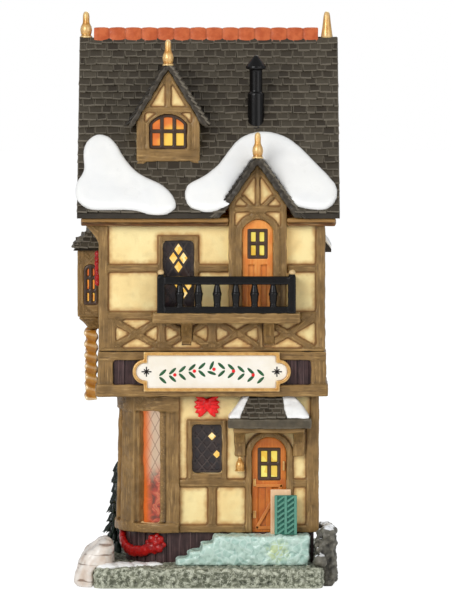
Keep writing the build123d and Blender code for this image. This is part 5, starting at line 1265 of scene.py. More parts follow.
    def build(self) -> None:
        """Lays all the shingles and casts what stands on the roofs."""
        self.shingle()
        dress(UNDERLAY, "main_roof", "oriel_roof", "side_hood")
        for node in ("gable_roof", "dormer_roof"):
            recast(node, Casting(grain=0.45, passes=1, wander=0.5, size=2.4), UNDERLAY)
        recast("porch_roof", Casting(grain=0.4, passes=4, wander=0.3, size=4.0), PORCH)
        place("ridge_tiles_cast", self.ridge(), TERRACOTTA, ["ridge_tiles"])
        finials = to_mesh(self.turned(), "finials_turned")
        mark_edges(finials, 1)
        place("finials_turned", finials, GOLD, ["finials"])
        recast("flue_pipe", Casting(grain=0.32, passes=3), JET)


@dataclass
class Walls:
    """Plastered walls with painted shade beside their timbers."""

    broad: Casting = Casting(grain=0.9, wander=0.28, size=7.0)
    fine: Casting = Casting(grain=0.6, wander=0.2, size=5.0)
    oriel: Casting = Casting(grain=0.45, wander=0.1, size=4.0)

    def build(self) -> None:
        """Casts each wall and paints shade beside its timbers."""
        for node, casting, timbers in (
                ("lower_storey", self.broad,
                 ["lower_timbers", "shop_window_frame", "jetty_rails", "shop_window_film"]),
                ("upper_storey", self.broad, ["upper_timbers", "gable_timbers", "balcony_floor", "jetty_rails"]),
                ("attic_gables", self.broad, ["upper_timbers"]),
                ("gable_wall", self.fine, ["gable_timbers"]),
                ("dormer_walls", self.fine, ["dormer_timbers"])):
            recast(node, casting, CREAM, timbers)
        recast("oriel_walls", self.oriel, OAK, along=True)


@dataclass
class Timbers:
    """Framing, rails, brackets and cornice with grain along each beam; jambs by angle, reaches and width."""

    beams: Casting = Casting(grain=0.5, wander=0.3, size=5.0)
    tall_beams: Casting = Casting(grain=0.58, wander=0.3, size=5.0)
    cornice: Casting = Casting(grain=0.6, wander=0.2, size=6.0)
    jambs: tuple[tuple[float, float, float, float], ...] = ((230.2, 14.6, 18.4, 1.2), (266.4, 16.9, 18.4, 2.9))
    jamb_foot: float = 22.8
    jamb_head: float = 70.4

    def shop_frame(self) -> bmesh.types.BMesh:
        """Shop window frame with a lining board down each side of its pane."""
        bm = copied("shop_window_frame")
        for angle, inner, outer, wide in self.jambs:
            out = Vector((math.cos(math.radians(angle)), math.sin(math.radians(angle)), 0))
            start = Vector((*SHOP_CORNER, (self.jamb_foot + self.jamb_head) / 2)) + out * ((inner + outer) / 2)
            block(bm, start, UP.cross(out), UP, out, (wide, self.jamb_head - self.jamb_foot, outer - inner))
        return bm

    def build(self) -> None:
        """Casts each framed piece."""
        recast("upper_timbers", self.tall_beams, OAK, along=True)
        for node in ("lower_timbers", "gable_timbers", "dormer_timbers", "jetty_rails", "porch_brackets",
                     "balcony_brackets", "balcony_floor", "oriel_corbel"):
            recast(node, self.beams, OAK, along=True)
        shop = self.beams.skin(self.shop_frame(), "shop_window_frame_cast")
        mark_along(shop, ["shop_window_frame"])
        place("shop_window_frame_cast", shop, OAK, ["shop_window_frame"])
        recast("eaves_cornice", self.cornice, CORNICE, along=True)
        dress(BOARDS, "jetty_boards", "plinth")


@dataclass
class Snow:
    """Glossy drifts on the roofs, the bank beside the base and thin snow at its foot; lengths in millimetres.

    Each drift of the apron has a place and three half sizes.
    """

    apron: tuple[tuple[float, ...], ...] = ((-40.0, -47.5, 8.2, 5.5, 4.4, 1.9), (-34.0, -45.0, 8.1, 5.2, 4.0, 1.6),
                                            (-28.0, -42.0, 8.0, 5.0, 3.6, 1.4), (-21.5, -40.0, 8.0, 4.6, 3.0, 1.2))
    thin: Casting = Casting(grain=0.4, passes=4, wander=0.5, size=4.0)
    roof: Casting = Casting(grain=0.8, passes=10, wander=0.5, size=16.0)
    canopy: Casting = Casting(grain=0.4, passes=10, wander=0.4, size=5.0, swell=0.2)
    bank: Casting = Casting(grain=0.7, passes=6, wander=1.4, size=9.0, foot=1.0)

    def strewn(self) -> bmesh.types.BMesh:
        """Flat drifts along the front of the plinth."""
        bm = bmesh.new()
        for x, y, z, long, deep, tall in self.apron:
            drift = shift(x, y, z) @ Matrix.Diagonal((long, deep, tall, 1.0))
            bmesh.ops.create_icosphere(bm, subdivisions=3, radius=MM, matrix=drift)
        return bm

    def build(self) -> None:
        """Casts each drift."""
        place("snow_apron", self.thin.skin(self.strewn(), "snow_apron"), SNOW, slot="snow")
        recast("roof_snow", self.roof, SNOW)
        recast("canopy_snow", self.canopy, SNOW)
        recast("snow_bank", self.bank, BANK)


class Light(Enum):
    """How a window shows."""

    PANES = "panes"
    AMBER = "amber"
    ORIEL = "oriel"
    LATTICE = "lattice"


@dataclass
class Windows:
    """Lit films behind bars and lattices; places in millimetres, lit cells in half diamonds from the middle."""

    pane_spots: tuple[Point, ...] = ((20.4, -38.0, 136.0), (25.1, -32.0, 48.0))
    dormer_spot: Point = (-15.3, -33.0, 181.0)
    spot_reach: float = 12.0
    oriel_side: float = -42.5
    jetty: float = 90.0
    columns: int = 3
    rows: int = 4
    cell_shares: Range = (0.8, 0.66)
    cell_thick: float = 0.3
    french_cells: tuple[tuple[int, int], ...] = ((0, 3), (1, 2), (0, 1), (-1, 2), (0, -1), (1, -2), (2, -1))
    low_cells: tuple[tuple[int, int], ...] = ((1, 2), (2, -1))
    other_cells: tuple[tuple[int, int], ...] = ((0, 1), (1, -2), (-1, 0), (0, -1))
    bars: Casting = Casting(grain=0.28, passes=1, swell=0.36)

    def light(self, middle: Vector) -> Light:
        """How the film at a place shows."""
        if (middle - Vector(self.dormer_spot)).length < self.spot_reach:
            return Light.AMBER
        if middle.x < self.oriel_side:
            return Light.ORIEL
        if any((middle - Vector(spot)).length < self.spot_reach for spot in self.pane_spots):
            return Light.PANES
        return Light.LATTICE

    def spots(self) -> bmesh.types.BMesh:
        """Diamonds of the lattices that the lamp shows through."""
        lattice = copied("window_lattice")
        bm = bmesh.new()
        for group in islands(lattice):
            low, high = (corner / MM for corner in span_of(group))
            middle, size = (low + high) / 2, high - low
            front = size.y < size.x
            run = RIGHT if front else -FRONT
            side = math.copysign(1, middle.y if front else middle.x)
            out = Vector((0, side, 0)) if front else Vector((side, 0, 0))
            half_wide, half_tall = max(size.x, size.y) / self.columns / 2, size.z / self.rows / 2
            deep = min(size.x, size.y) / 2 - self.cell_thick
            cells = self.other_cells
            if front and side < 0:
                cells = self.french_cells if middle.z > self.jetty else self.low_cells
            wide_share, tall_share = self.cell_shares
            shape = (half_wide * wide_share, half_tall * tall_share, self.cell_thick)
            for across, up in cells:
                at = middle + run * (across * half_wide) + UP * (up * half_tall) - out * deep
                bmesh.ops.create_cone(bm, cap_ends=True, segments=4, radius1=1.0, radius2=1.0, depth=1.0,
                                      matrix=frame_of(at, run, UP, out, shape))
        lattice.free()
        bmesh.ops.recalc_face_normals(bm, faces=bm.faces)
        return bm

    def build(self) -> None:
        """Parts the films by their light and dresses what stands before them."""
        for light, finish in ((Light.PANES, LIT_PANE), (Light.AMBER, LIT_AMBER), (Light.ORIEL, LIT_ORIEL),
                              (Light.LATTICE, LIT_LATTICE)):
            bm = copied("window_films")
            drop = []
            for group in islands(bm):
                middle = sum((vert.co for vert in group), Vector()) / len(group) / MM
                if self.light(middle) is not light:
                    drop.extend(group)
            bmesh.ops.delete(bm, geom=drop, context="VERTS")
            place("window_films_" + light.value, to_mesh(bm, light.value, False), finish, ["window_films"])
        place("window_spots", to_mesh(self.spots(), "window_spots", False), LIT_SPOT, slot="lit_film")
        dress(LIT_SHOP, "shop_window_film")
        dress(LEAD, "window_lattice")
        recast("window_bars", self.bars, BAR)


@dataclass
class Doors:
    """Both doors with their braces, handle and hinges; lengths in millimetres."""

    brace_width: float = 1.3
    brace_depth: float = 0.5
    brace_overrun_share: float = 0.6
    brace_bevel: float = 0.16
    middle: float = 25.1
    face: float = -33.6
    foot: float = 22.2
    head: float = 39.2
    half: float = 5.0
    leaf: Casting = Casting(grain=0.3, passes=1)
    fittings: Casting = Casting(grain=0.2)
    bell: Casting = Casting(grain=0.22)

    def brace(self) -> bmesh.types.BMesh:
        """Raised Z of boards on the lower panel of the front door."""
        bm = bmesh.new()
        for low, high in ((self.foot, self.foot), (self.head, self.head), (self.foot, self.head)):
            start, end = Vector((-self.half, 0, low)), Vector((self.half, 0, high))
            run = (end - start).normalized()
            middle = (start + end) / 2 + Vector((self.middle, self.face, 0))
            length = (end - start).length + self.brace_width * self.brace_overrun_share
            block(bm, middle, run, FRONT.cross(run), FRONT, (length, self.brace_width, self.brace_depth))
        bevelled(bm, self.brace_bevel, 2)
        return bm

    def build(self) -> None:
        """Casts the leaves and adds the brace."""
        recast("front_door", self.leaf, DOOR)
        recast("balcony_door", self.leaf, LIT_DOOR)
        mesh = to_mesh(self.brace(), "front_door_brace", False)
        mark_edges(mesh, 0)
        place("front_door_brace", mesh, DOOR, slot="door")
        recast("door_fittings", self.fittings, GOLD)
        recast("door_bell", self.bell, GOLD)


@dataclass
class Balcony:
    """Glossy railing round the balcony, with a tan knob on each end post; lengths in millimetres.

    Each ball of a knob has a share of its radius, a lift and a squash; each collar has its height as a share of the
    baluster's, and a radius.
    """

    knob: float = 1.3
    knob_balls: tuple[Point, ...] = ((1.0, 0.5, 0.9), (0.8, -0.7, 0.5))
    inset: float = 1.2
    balusters: int = 6
    post: float = 2.6
    bottom: float = 2.4
    top: float = 2.8
    collars: tuple[Range, ...] = ((0.08, 1.15), (0.5, 1.6), (0.92, 1.15))
    collar_height: float = 0.8
    front_casting: Casting = Casting(grain=0.26, passes=1, swell=0.28)
    end_casting: Casting = Casting(grain=0.3, swell=0.3)

    def knobs(self) -> bmesh.types.BMesh:
        """Turned knobs on the two end posts."""
        low, high = box_of("balcony_rail_front")
        bm = bmesh.new()
        for x in (low.x + self.inset, high.x - self.inset):
            for share, lift, squash in self.knob_balls:
                matrix = shift(x, (low.y + high.y) / 2, high.z + lift) @ Matrix.Diagonal((1.0, 1.0, squash, 1.0))
                bmesh.ops.create_uvsphere(bm, u_segments=20, v_segments=12, radius=self.knob * share * MM,
                                          matrix=matrix)
        return bm

    def front(self) -> bmesh.types.BMesh:
        """Front railing with a collar round the foot, middle and head of each baluster."""
        low, high = box_of("balcony_rail_front")
        bm = copied("balcony_rail_front")
        step = (high.x - low.x - self.post) / (self.balusters + 1)
        tall = high.z - low.z - self.bottom - self.top
        for number in range(self.balusters):
            x = low.x + self.post / 2 + step * (number + 1)
            for share, radius in self.collars:
                matrix = shift(x, (low.y + high.y) / 2, low.z + self.bottom + tall * share)
                bmesh.ops.create_cone(bm, cap_ends=True, segments=16, radius1=radius * MM, radius2=radius * MM,
                                      depth=self.collar_height * MM, matrix=matrix)
        return bm

    def build(self) -> None:
        """Casts the railings and turns the knobs."""
        front = self.front_casting.skin(self.front(), "balcony_rail_front_cast")
        place("balcony_rail_front_cast", front, JET, ["balcony_rail_front"])
        recast("balcony_rail_ends", self.end_casting, JET)
        mesh = to_mesh(self.knobs(), "balcony_knobs")
        mark_edges(mesh, 1)
        place("balcony_knobs", mesh, KNOB, slot="timber")


@dataclass
class Sign:
    """Sign over the shop with a plain sprig on it; lengths in millimetres, turns in radians."""

    middle: Range = (2.1, 85.8)
    face: float = -43.6
    star_spread: float = 26.0
    star_radius: float = 2.0
    star_short_share: float = 0.7
    star_bar: Range = (0.5, 0.3)
    star_bevel: float = 0.08
    pairs_each_side: int = 5
    pair_pitch: float = 3.9
    arch: float = 1.6
    arch_turn: float = 0.5
    arch_drop: float = 0.6
    leaf: Point = (1.9, 0.62, 0.22)
    leaf_rise: float = 1.5
    leaf_lean: float = 0.75
    middle_lean: float = 0.4
    berry: Point = (0.72, 0.72, 0.4)
    berry_shift: float = 0.9
    frame_casting: Casting = Casting(grain=0.3, passes=4, swell=0.1)
    board_casting: Casting = Casting(grain=0.4, passes=1)

    def star(self, bm: bmesh.types.BMesh, x: float, z: float) -> None:
        """Adds a small star of crossed bars.

        Args:
            bm: The bmesh that gets it.
            x: Its middle across the sign.
            z: Its middle up the sign.
        """
        for number in range(4):
            turn = number * math.pi / 4
            run = Vector((math.cos(turn), 0, math.sin(turn)))
            long = self.star_radius * (self.star_short_share if number % 2 else 1.0)
            block(bm, Vector((x, self.face, z)), run, FRONT.cross(run), FRONT, (2 * long, *self.star_bar))

    def ball(self, bm: bmesh.types.BMesh, x: float, z: float, size: Point, turn: float = 0.0) -> None:
        """Adds a flattened ball on the sign.

        Args:
            bm: The bmesh that gets it.
            x: Its middle across the sign.
            z: Its middle up the sign.
            size: Its half sizes along, across and out.
            turn: Angle of its length.
        """
        run = Vector((math.cos(turn), 0, math.sin(turn)))
        matrix = frame_of(Vector((x, self.face, z)), run, FRONT.cross(run), FRONT, [2 * value for value in size])
        bmesh.ops.create_uvsphere(bm, u_segments=12, v_segments=8, radius=0.5, matrix=matrix)

    def build(self) -> None:
        """Casts the frame and panel and adds the sprig."""
        recast("sign_frame", self.frame_casting, GOLD)
        recast("sign_board", self.board_casting, WHITE)
        x, z = self.middle
        stars = bmesh.new()
        for side in (-1, 1):
            self.star(stars, x + side * self.star_spread, z)
        bevelled(stars, self.star_bevel)
        place("sign_stars", to_mesh(stars, "sign_stars", False), INK, slot="lattice")
        leaves, berries = bmesh.new(), bmesh.new()
        for number in range(-self.pairs_each_side, self.pairs_each_side + 1):
            at = x + number * self.pair_pitch
            level = z + (self.arch * math.cos(number * self.arch_turn) - self.arch_drop)
            for side in (-1, 1):
                lean = side * self.leaf_lean * (1 if number <= 0 else -1) + (0 if number else self.middle_lean)
                self.ball(leaves, at, level + side * self.leaf_rise, self.leaf, lean)
            if number % 2 == 0:
                self.ball(berries, at + self.berry_shift, level, self.berry)
        place("sign_leaves", to_mesh(leaves, "sign_leaves"), LEAF, slot="fir")
        place("sign_berries", to_mesh(berries, "sign_berries"), RED, slot="ribbon")


@dataclass
class Lumps:
    """Egg-shaped lumps that ribbons and garlands are cast from."""

    bm: bmesh.types.BMesh

    def add(self, place_at: Matrix, offset: Point, size: Point, turn: float = 0.0) -> None:
        """Adds one lump.

        Args:
            place_at: Frame that it is placed in.
            offset: Place in that frame.
            size: Half sizes along, across and out.
            turn: Angle of its length in that frame.
        """
        local = Matrix.Translation(offset) @ Matrix.Rotation(turn, 4, "Z") @ Matrix.Diagonal((*size, 1.0))
        bmesh.ops.create_icosphere(self.bm, subdivisions=3, radius=1.0, matrix=place_at @ local)


@dataclass
class Swag:
    """Puffed ribbon round the shop's corner, with a rosette at its right end; lengths in mm, turns in radians."""

    radius: float = 17.6
    wall_radius: float = 17.5
    top: float = 19.4
    sag: float = 7.2
    middle: float = math.radians(225)
    half: float = 0.86
    count: int = 13
    end_share: float = 0.62
    puff: Point = (2.9, 2.3, 1.6)
    puff_out: float = 0.2
    puff_lean: float = 0.4
    rose_turn: float = math.radians(256)
    rose_height: float = 15.8
    petals: int = 4
    petal_turn: float = 0.7
    petal: Point = (2.0, 1.7, 1.2)
    petal_at: Point = (2.1, 2.3, 0.5)
    tip: Point = (1.2, 1.0, 0.8)
    tip_at: Point = (3.3, 3.4, 0.1)
    tip_turn: float = 0.75
    heart: Point = (0.9, 0.9, 0.8)
    heart_out: float = 1.2
    casting: Casting = Casting(grain=0.3, wander=0.12, size=1.6)

    def around(self, turn: float, height: float) -> Matrix:
        """Frame on the rounded corner: across, up and out.

        Args:
            turn: Angle round the corner.
            height: Height above the ground.

        Returns:
            The matrix in metres.
        """
        out = Vector((math.cos(turn), math.sin(turn), 0))
        run = Vector((-math.sin(turn), math.cos(turn), 0))
        return frame_of(Vector((*SHOP_CORNER, height)) + out * self.radius, run, UP, out, UNIT)

    def ribbon(self) -> bmesh.types.BMesh:
        """Lumps of the ribbon and of its rosette."""
        lumps = Lumps(bmesh.new())
        for number in range(self.count):
            share = number / (self.count - 1) * 2 - 1
            if share > self.end_share:
                continue
            frame_at = self.around(self.middle + share * self.half, self.top - self.sag * (1 - share * share))
            slope = math.atan(2 * self.sag * share / (self.wall_radius * self.half))
            lumps.add(frame_at, (0, 0, self.puff_out), self.puff, slope + self.puff_lean * (-1) ** number)
        rose = self.around(self.rose_turn, self.rose_height)
        for number in range(self.petals):
            turn = number * math.tau / self.petals + self.petal_turn
            for size, (across, up, out), at in ((self.petal, self.petal_at, turn),
                                                (self.tip, self.tip_at, turn + self.tip_turn)):
                lumps.add(rose, (across * math.cos(at), up * math.sin(at), out), size, turn)
        lumps.add(rose, (0, 0, self.heart_out), self.heart)
        return lumps.bm

    def build(self) -> None:
        """Casts the swag."""
        place("shop_swag_ribbon", self.casting.skin(self.ribbon(), "shop_swag_ribbon"), SWAG, ["shop_swag"])


@dataclass
class Ribbons:
    """Bow over the lower window and red strip beside the oriel; lengths in millimetres.

    Each loop of the bow has a lift, a reach, a length and a tilt.
    """

    loops: tuple[tuple[float, float, float, float], ...] = (
        (2.7, 2.2, 2.6, 0.35), (1.1, 2.8, 2.5, 0.1), (-0.5, 2.8, 2.5, -0.15), (-2.0, 2.5, 2.5, -0.4),
        (-3.2, 1.9, 2.3, -0.75))
    loop_half: Range = (0.92, 0.95)
    loop_out: float = 0.3
    knot: Point = (1.3, 2.1, 1.1)
    knot_at: Point = (0, 0.4, 0.6)
    bow_seat: float = 0.7
    strip_count: int = 7
    strip_start: Point = (-43.3, -36.6, 132.4)
    strip_pitch: float = 1.9
    strip_sway: float = 0.3
    strip_sway_turn: float = 2.1
    strip_lump: Point = (1.3, 1.5, 1.25)
    strip_out: float = 0.2
    strip_lean: float = 0.5
    casting: Casting = Casting(grain=0.3, wander=0.12, size=1.6)

    def bow(self) -> bmesh.types.BMesh:
        """Full bow of looped ribbons with short tails."""
        low, high = box_of("ribbon_bow")
        middle = (low + high) / 2
        lumps = Lumps(bmesh.new())
        frame_at = frame_of(Vector((middle.x, high.y - self.bow_seat, middle.z)), RIGHT, UP, FRONT, UNIT)
        for side in (-1, 1):
            for lift, reach, long, tilt in self.loops:
                lumps.add(frame_at, (side * reach, lift, self.loop_out), (long, *self.loop_half), side * tilt)
        lumps.add(frame_at, self.knot_at, self.knot)
        return lumps.bm

    def strip(self) -> bmesh.types.BMesh:
        """Red strip that hangs beside the oriel."""
        lumps = Lumps(bmesh.new())
        x, y, z = self.strip_start
        for number in range(self.strip_count):
            sway = self.strip_sway * math.sin(number * self.strip_sway_turn)
            frame_at = frame_of(Vector((x, y + sway, z - number * self.strip_pitch)), FRONT, UP, LEFT, UNIT)
            lumps.add(frame_at, (0, 0, self.strip_out), self.strip_lump, self.strip_lean * (-1) ** number)
        return lumps.bm

    def build(self) -> None:
        """Casts the bow and the strip."""
        place("window_ribbon", self.casting.skin(self.bow(), "window_ribbon"), RED, ["ribbon_bow"])
        place("oriel_garland", self.casting.skin(self.strip(), "oriel_garland"), SWAG, slot="ribbon")


@dataclass
class Fir:
    """Fir of drooping spiky tiers, in half relief against the wall; lengths in millimetres."""

    seed: int = 3
    tiers: int = 8
    spikes: int = 26
    back: float = 1.6
    top_share: float = 0.34
    taper: float = 1.5
    reach_shares: Range = (0.85, 1.0)
    tip_share: float = 0.1
    tier_share: float = 1.9
    tier_turn: float = 0.41
    clear: float = 4.0
    headroom: float = 5.0
    rim: float = 0.1
    notch_shares: Range = (0.38, 0.5)
    notch_lift: Range = (0.8, 1.6)
    spike_shares: Range = (-0.1, 0.02)
    spike_droop: Range = (0.0, 0.7)
    trunk_foot: float = 1.8
    trunk_head: float = 1.4
    trunk_height: float = 6.0
    casting: Casting = Casting(grain=0.36, passes=1, wander=0.2, size=1.8)

    def tree(self) -> bmesh.types.BMesh:
        """Tiers with a notch between each two spikes, on a short trunk."""
        low, high = box_of("fir_tree")
        middle = Vector((high.x - self.back, (low.y + high.y) / 2, 0))
        height = high.z - low.z
        reach = middle.x - low.x
        luck = random.Random(self.seed)
        bm = bmesh.new()
        for tier in range(self.tiers):
            share = tier / self.tiers
            narrow = self.top_share + (1 - self.top_share) * (1 - share) ** self.taper
            radius = reach * narrow * luck.uniform(*self.reach_shares)
            base = low.z + self.clear + (height - self.headroom) * share
            tall = min(height / self.tiers * self.tier_share, high.z - base)
            matrix = shift(middle.x, middle.y, base + tall / 2) @ Matrix.Rotation(tier * self.tier_turn, 4, "Z")
            made = bmesh.ops.create_cone(bm, cap_ends=True, segments=self.spikes, radius1=radius * MM,
                                         radius2=self.tip_share * radius * MM, depth=tall * MM, matrix=matrix)
            rim = [vert for vert in made["verts"] if vert.co.z < (base + self.rim) * MM]
            for number, vert in enumerate(rim):
                out = Vector((vert.co.x / MM - middle.x, vert.co.y / MM - middle.y, 0))
                if number % 2:
                    vert.co += (out * -luck.uniform(*self.notch_shares) + UP * luck.uniform(*self.notch_lift)) * MM
                else:
                    vert.co += (out * luck.uniform(*self.spike_shares) - UP * luck.uniform(*self.spike_droop)) * MM
        bmesh.ops.create_cone(bm, cap_ends=True, segments=16, radius1=self.trunk_foot * MM,
                              radius2=self.trunk_head * MM, depth=self.trunk_height * MM,
                              matrix=shift(middle.x, middle.y, low.z + self.trunk_height / 2))
        for vert in bm.verts:
            vert.co.x = min(vert.co.x, high.x * MM)
        return bm

    def build(self) -> None:
        """Casts the tree."""
        place("fir_tree_tiers", self.casting.skin(self.tree(), "fir_tree_tiers"), PINE, ["fir_tree"])


@dataclass
class Console:
    """Gilt console under the oriel with ridges that wind up it; lengths in millimetres."""

    pitch: float = 4.4
    ridge: float = 0.5
    casting: Casting = Casting(grain=0.26)

    def build(self) -> None:
        """Casts the console and winds its ridges."""
        low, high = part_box("oriel_bracket")
        middle = (low + high) / 2

        def wave(at: Vector) -> float:
            """Millimetres outwards at a place."""
            turn = math.atan2(at.y - middle.y, at.x - middle.x)
            return self.ridge * math.sin(math.tau * at.z / (self.pitch * MM) + turn)

        mesh = self.casting.skin(copied("oriel_bracket"), "oriel_bracket_cast")
        push(mesh, wave)
        mark_edges(mesh, 3)
        place("oriel_bracket_cast", mesh, TWIST, ["oriel_bracket"])


@dataclass
class Ground:
    """Stone base, side rocks and icy steps; lengths in millimetres.

    Each loose stone has a place and a radius.
    """

    slab: Casting = Casting(grain=0.7, passes=1, wander=0.7, size=1.7, foot=0.6)
    rocks: Casting = Casting(grain=0.55, wander=1.5, size=4.0, foot=0.6)
    steps: Casting = Casting(grain=0.5, passes=14, wander=0.7, size=4.0, foot=8.4)
    joint_share: float = 0.35
    cobble_lift: float = 0.3
    stones: tuple[tuple[float, float, float, float], ...] = (
        (45.2, -47.0, 10.6, 3.2), (45.0, -44.6, 14.6, 2.9), (45.4, -42.4, 18.4, 2.6), (44.8, -39.6, 11.2, 3.2),
        (45.0, -38.4, 16.2, 2.6), (46.4, -40.4, 20.2, 2.8))
    stone_shares: Point = (0.8, 1.0, 0.9)

    def paved(self) -> bpy.types.Mesh:
        """Steps with rounded cobbles raised on them."""
        mesh = self.steps.skin(copied("entry_steps"), "entry_steps_cast")
        bm = bmesh.new()
        bm.from_mesh(mesh)
        bm.normal_update()
        moves = []
        for vert in bm.verts:
            near = noise.voronoi(vert.co / (ICE.cell * MM), distance_metric="DISTANCE")[0]
            moves.append(min(near[1] - near[0], self.joint_share) / self.joint_share)
        for vert, move in zip(bm.verts, moves):
            if vert.co.z > self.steps.foot * MM:
                vert.co += vert.normal * ((move - 0.5) * self.cobble_lift * MM)
        bm.to_mesh(mesh)
        bm.free()
        mark_edges(mesh)
        return mesh

    def rubble(self) -> bmesh.types.BMesh:
        """Side rocks with a few more stones between them and the steps."""
        bm = copied("side_rocks")
        for x, y, z, size in self.stones:
            stone = shift(x, y, z) @ Matrix.Diagonal((*self.stone_shares, 1.0))
            bmesh.ops.create_icosphere(bm, subdivisions=2, radius=size * MM, matrix=stone)
        return bm

    def build(self) -> None:
        """Casts the ground pieces."""
        recast("base_slab", self.slab, FLAG)
        place("side_rocks_cast", self.rocks.skin(self.rubble(), "side_rocks_cast"), ROCK, ["side_rocks"])
        place("entry_steps_cast", self.paved(), ICE, ["entry_steps"])


@dataclass
class LeaningBoards:
    """Pale and teal boards that lean by the door; lengths in millimetres."""

    casting: Casting = Casting(grain=0.28, passes=1)
    foot: Point = (31.7, -40.6, 20.1)
    rise: float = 15.8
    setback: float = 1.76
    strips: Point = (-3.9, 0.0, 3.9)
    strip: Point = (1.1, 15.6, 1.0)
    columns: Range = (-1.95, 1.95)
    slats_each: int = 7
    slat: Point = (3.4, 0.8, 0.9)
    slat_start: float = 1.4
    slat_pitch: float = 2.15
    slat_slope: Range = (0.8, 0.6)
    bevel: float = 0.12

    def slats(self) -> bmesh.types.BMesh:
        """Raised diagonal slats and side strips on the front board."""
        bm = bmesh.new()
        up = Vector((0, self.setback, self.rise)).normalized()
        out = Vector((0, -self.rise, self.setback)).normalized()
        foot = Vector(self.foot)
        for side in self.strips:
            block(bm, foot + RIGHT * side + up * (self.rise / 2), RIGHT, up, out, self.strip)
        across, along = self.slat_slope
        lean = (RIGHT * across + up * along).normalized()
        for column in self.columns:
            for number in range(self.slats_each):
                middle = foot + RIGHT * column + up * (self.slat_start + number * self.slat_pitch)
                block(bm, middle, lean, out.cross(lean), out, self.slat)
        bevelled(bm, self.bevel)
        return bm

    def build(self) -> None:
        """Parts the two boards, dresses each in its own paint and adds the slats."""
        for name, finish, drop in (("leaning_board_pale", LIMED, 1), ("leaning_board_teal", TEAL, 0)):
            bm = copied("leaning_boards")
            groups = sorted(islands(bm), key=lambda group: min(vert.co.x for vert in group))
            bmesh.ops.delete(bm, geom=groups[drop], context="VERTS")
            place(name, self.casting.skin(bm, name), finish, ["leaning_boards"])
        mesh = to_mesh(self.slats(), "leaning_board_slats", False)
        mark_edges(mesh, 0)
        place("leaning_board_slats", mesh, TEAL, slot="leaning")


@dataclass
class Lamp:
    """Clip-in holder and bulb at the back."""

    def build(self) -> None:
        """Dresses the holder, its clips and the bulb."""
        dress(IVORY, "lamp_housing")
        dress(BRASS, "socket_contacts", "bulb_cap")
        dress(STEEL, "clip_left", "clip_right", "bulb_tip")
        dress(CLEAR, "bulb_glass")
        dress(STEEL, "bulb_filament")


@dataclass(frozen=True)
class Softbox:
    """Soft square light that faces the house, in metres and watts."""

    name: str
    at: Point
    power: float
    size: float
    aim: Point = (0, 0, 0.11)

    def hang(self) -> None:
        """Adds the light."""
        light = bpy.data.lights.new(self.name, "AREA")
        light.energy = self.power
        light.size = self.size
        holder = bpy.data.objects.new(self.name, light)
        holder.location = self.at
        holder.rotation_euler = (Vector(self.aim) - Vector(self.at)).to_track_quat("-Z", "Y").to_euler()
        bpy.context.scene.collection.objects.link(holder)


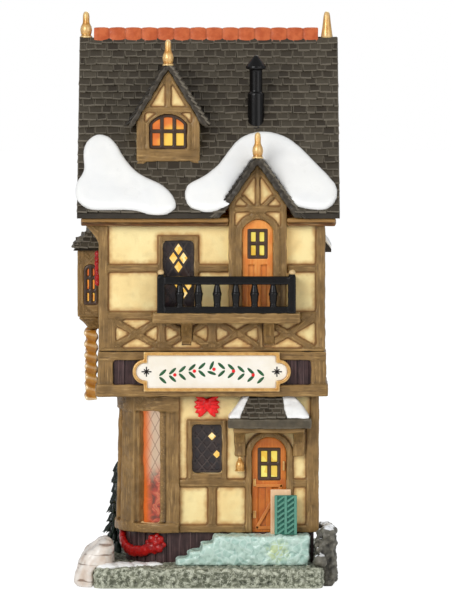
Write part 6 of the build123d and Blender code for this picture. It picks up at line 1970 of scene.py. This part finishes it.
@dataclass
class Studio:
    """Floor, light and camera; lengths in metres, the lift in degrees and the sensor in millimetres."""

    sky_tone: Colour = (0.95, 0.97, 1.0)
    sky_strength: float = 0.46
    floor_half: float = 4.0
    floor_tone: Colour = (0.93, 0.93, 0.93)
    floor_strength: float = 1.25
    floor_share: float = 0.72
    boxes: tuple[Softbox, ...] = (Softbox("key", (-0.6, -1.0, 0.55), 7.6, 0.6),
                                  Softbox("fill", (0.8, -0.9, 0.4), 3.0, 0.8),
                                  Softbox("rim", (0.3, 1.0, 0.9), 5.0, 0.7))
    distance: float = 2.2
    plane: float = -0.034
    middle: Range = (0.0084, 0.1138)
    tall: float = 0.24
    lift: float = 4.0
    sensor: float = 24.0
    clip: Range = (0.05, 20.0)

    def sky(self) -> None:
        """White behind the object, and plain soft light on it."""
        world = bpy.data.worlds.new("studio")
        bpy.context.scene.world = world
        world.use_nodes = True
        tree = world.node_tree
        tree.nodes.clear()
        path = tree.nodes.new("ShaderNodeLightPath")
        seen = tree.nodes.new("ShaderNodeMath")
        seen.operation = "MAXIMUM"
        tree.links.new(path.outputs["Is Camera Ray"], seen.inputs[0])
        tree.links.new(path.outputs["Is Transmission Ray"], seen.inputs[1])
        both = tree.nodes.new("ShaderNodeMixShader")
        tree.links.new(seen.outputs[0], both.inputs[0])
        for socket, tone, strength in ((1, self.sky_tone, self.sky_strength), (2, UNIT, 1.0)):
            light = tree.nodes.new("ShaderNodeBackground")
            light.inputs["Color"].default_value = (*tone, 1.0)
            light.inputs["Strength"].default_value = strength
            tree.links.new(light.outputs[0], both.inputs[socket])
        end = tree.nodes.new("ShaderNodeOutputWorld")
        tree.links.new(both.outputs[0], end.inputs[0])

    def floor(self) -> None:
        """Pale floor that keeps a soft shadow."""
        bm = bmesh.new()
        bmesh.ops.create_grid(bm, x_segments=1, y_segments=1, size=self.floor_half)
        mesh = to_mesh(bm, "floor", False)
        g = Graph("pale_floor")
        matt = g.node("ShaderNodeBsdfDiffuse", None, {"Color": self.floor_tone})
        lit = g.node("ShaderNodeEmission", None, {"Color": UNIT, "Strength": self.floor_strength})
        seen = g.node("ShaderNodeLightPath", out="Is Camera Ray")
        g.node_out(g.node("ShaderNodeMixShader", None, {0: seen * self.floor_share, 1: matt, 2: lit}))
        mesh.materials.append(g.material)
        floor = bpy.data.objects.new("floor", mesh)
        bpy.context.scene.collection.objects.link(floor)

    def camera(self) -> None:
        """Long lens in front and a little above, in the photograph's frame."""
        lens = bpy.data.cameras.new("front")
        lens.sensor_fit = "VERTICAL"
        lens.sensor_height = lens.sensor_width = self.sensor
        lens.lens = self.sensor * self.distance / self.tall
        lens.clip_start, lens.clip_end = self.clip
        holder = bpy.data.objects.new("front", lens)
        x, z = self.middle
        lift = math.radians(self.lift)
        away = Vector((0, -math.cos(lift), math.sin(lift))) * self.distance
        holder.location = Vector((x, self.plane, z)) + away
        holder.rotation_euler = (math.pi / 2 - lift, 0, 0)
        bpy.context.scene.collection.objects.link(holder)
        bpy.context.scene.camera = holder

    def build(self) -> None:
        """Sets up the studio."""
        bpy.context.scene.view_settings.view_transform = "Standard"
        self.sky()
        self.floor()
        for box in self.boxes:
            box.hang()
        self.camera()


def write_sizes() -> None:
    """Updates the view layer."""
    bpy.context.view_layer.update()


def main() -> None:
    """Builds every sub-assembly in order."""
    logging.basicConfig(level=logging.INFO, format="%(message)s")
    for assembly in (Studio(), Roofing(), Walls(), Timbers(), Snow(), Windows(), Doors(), Balcony(), Sign(), Swag(),
                     Ribbons(), Fir(), Console(), Ground(), LeaningBoards(), Lamp()):
        assembly.build()
    write_sizes()


if __name__ == "__main__":
    main()
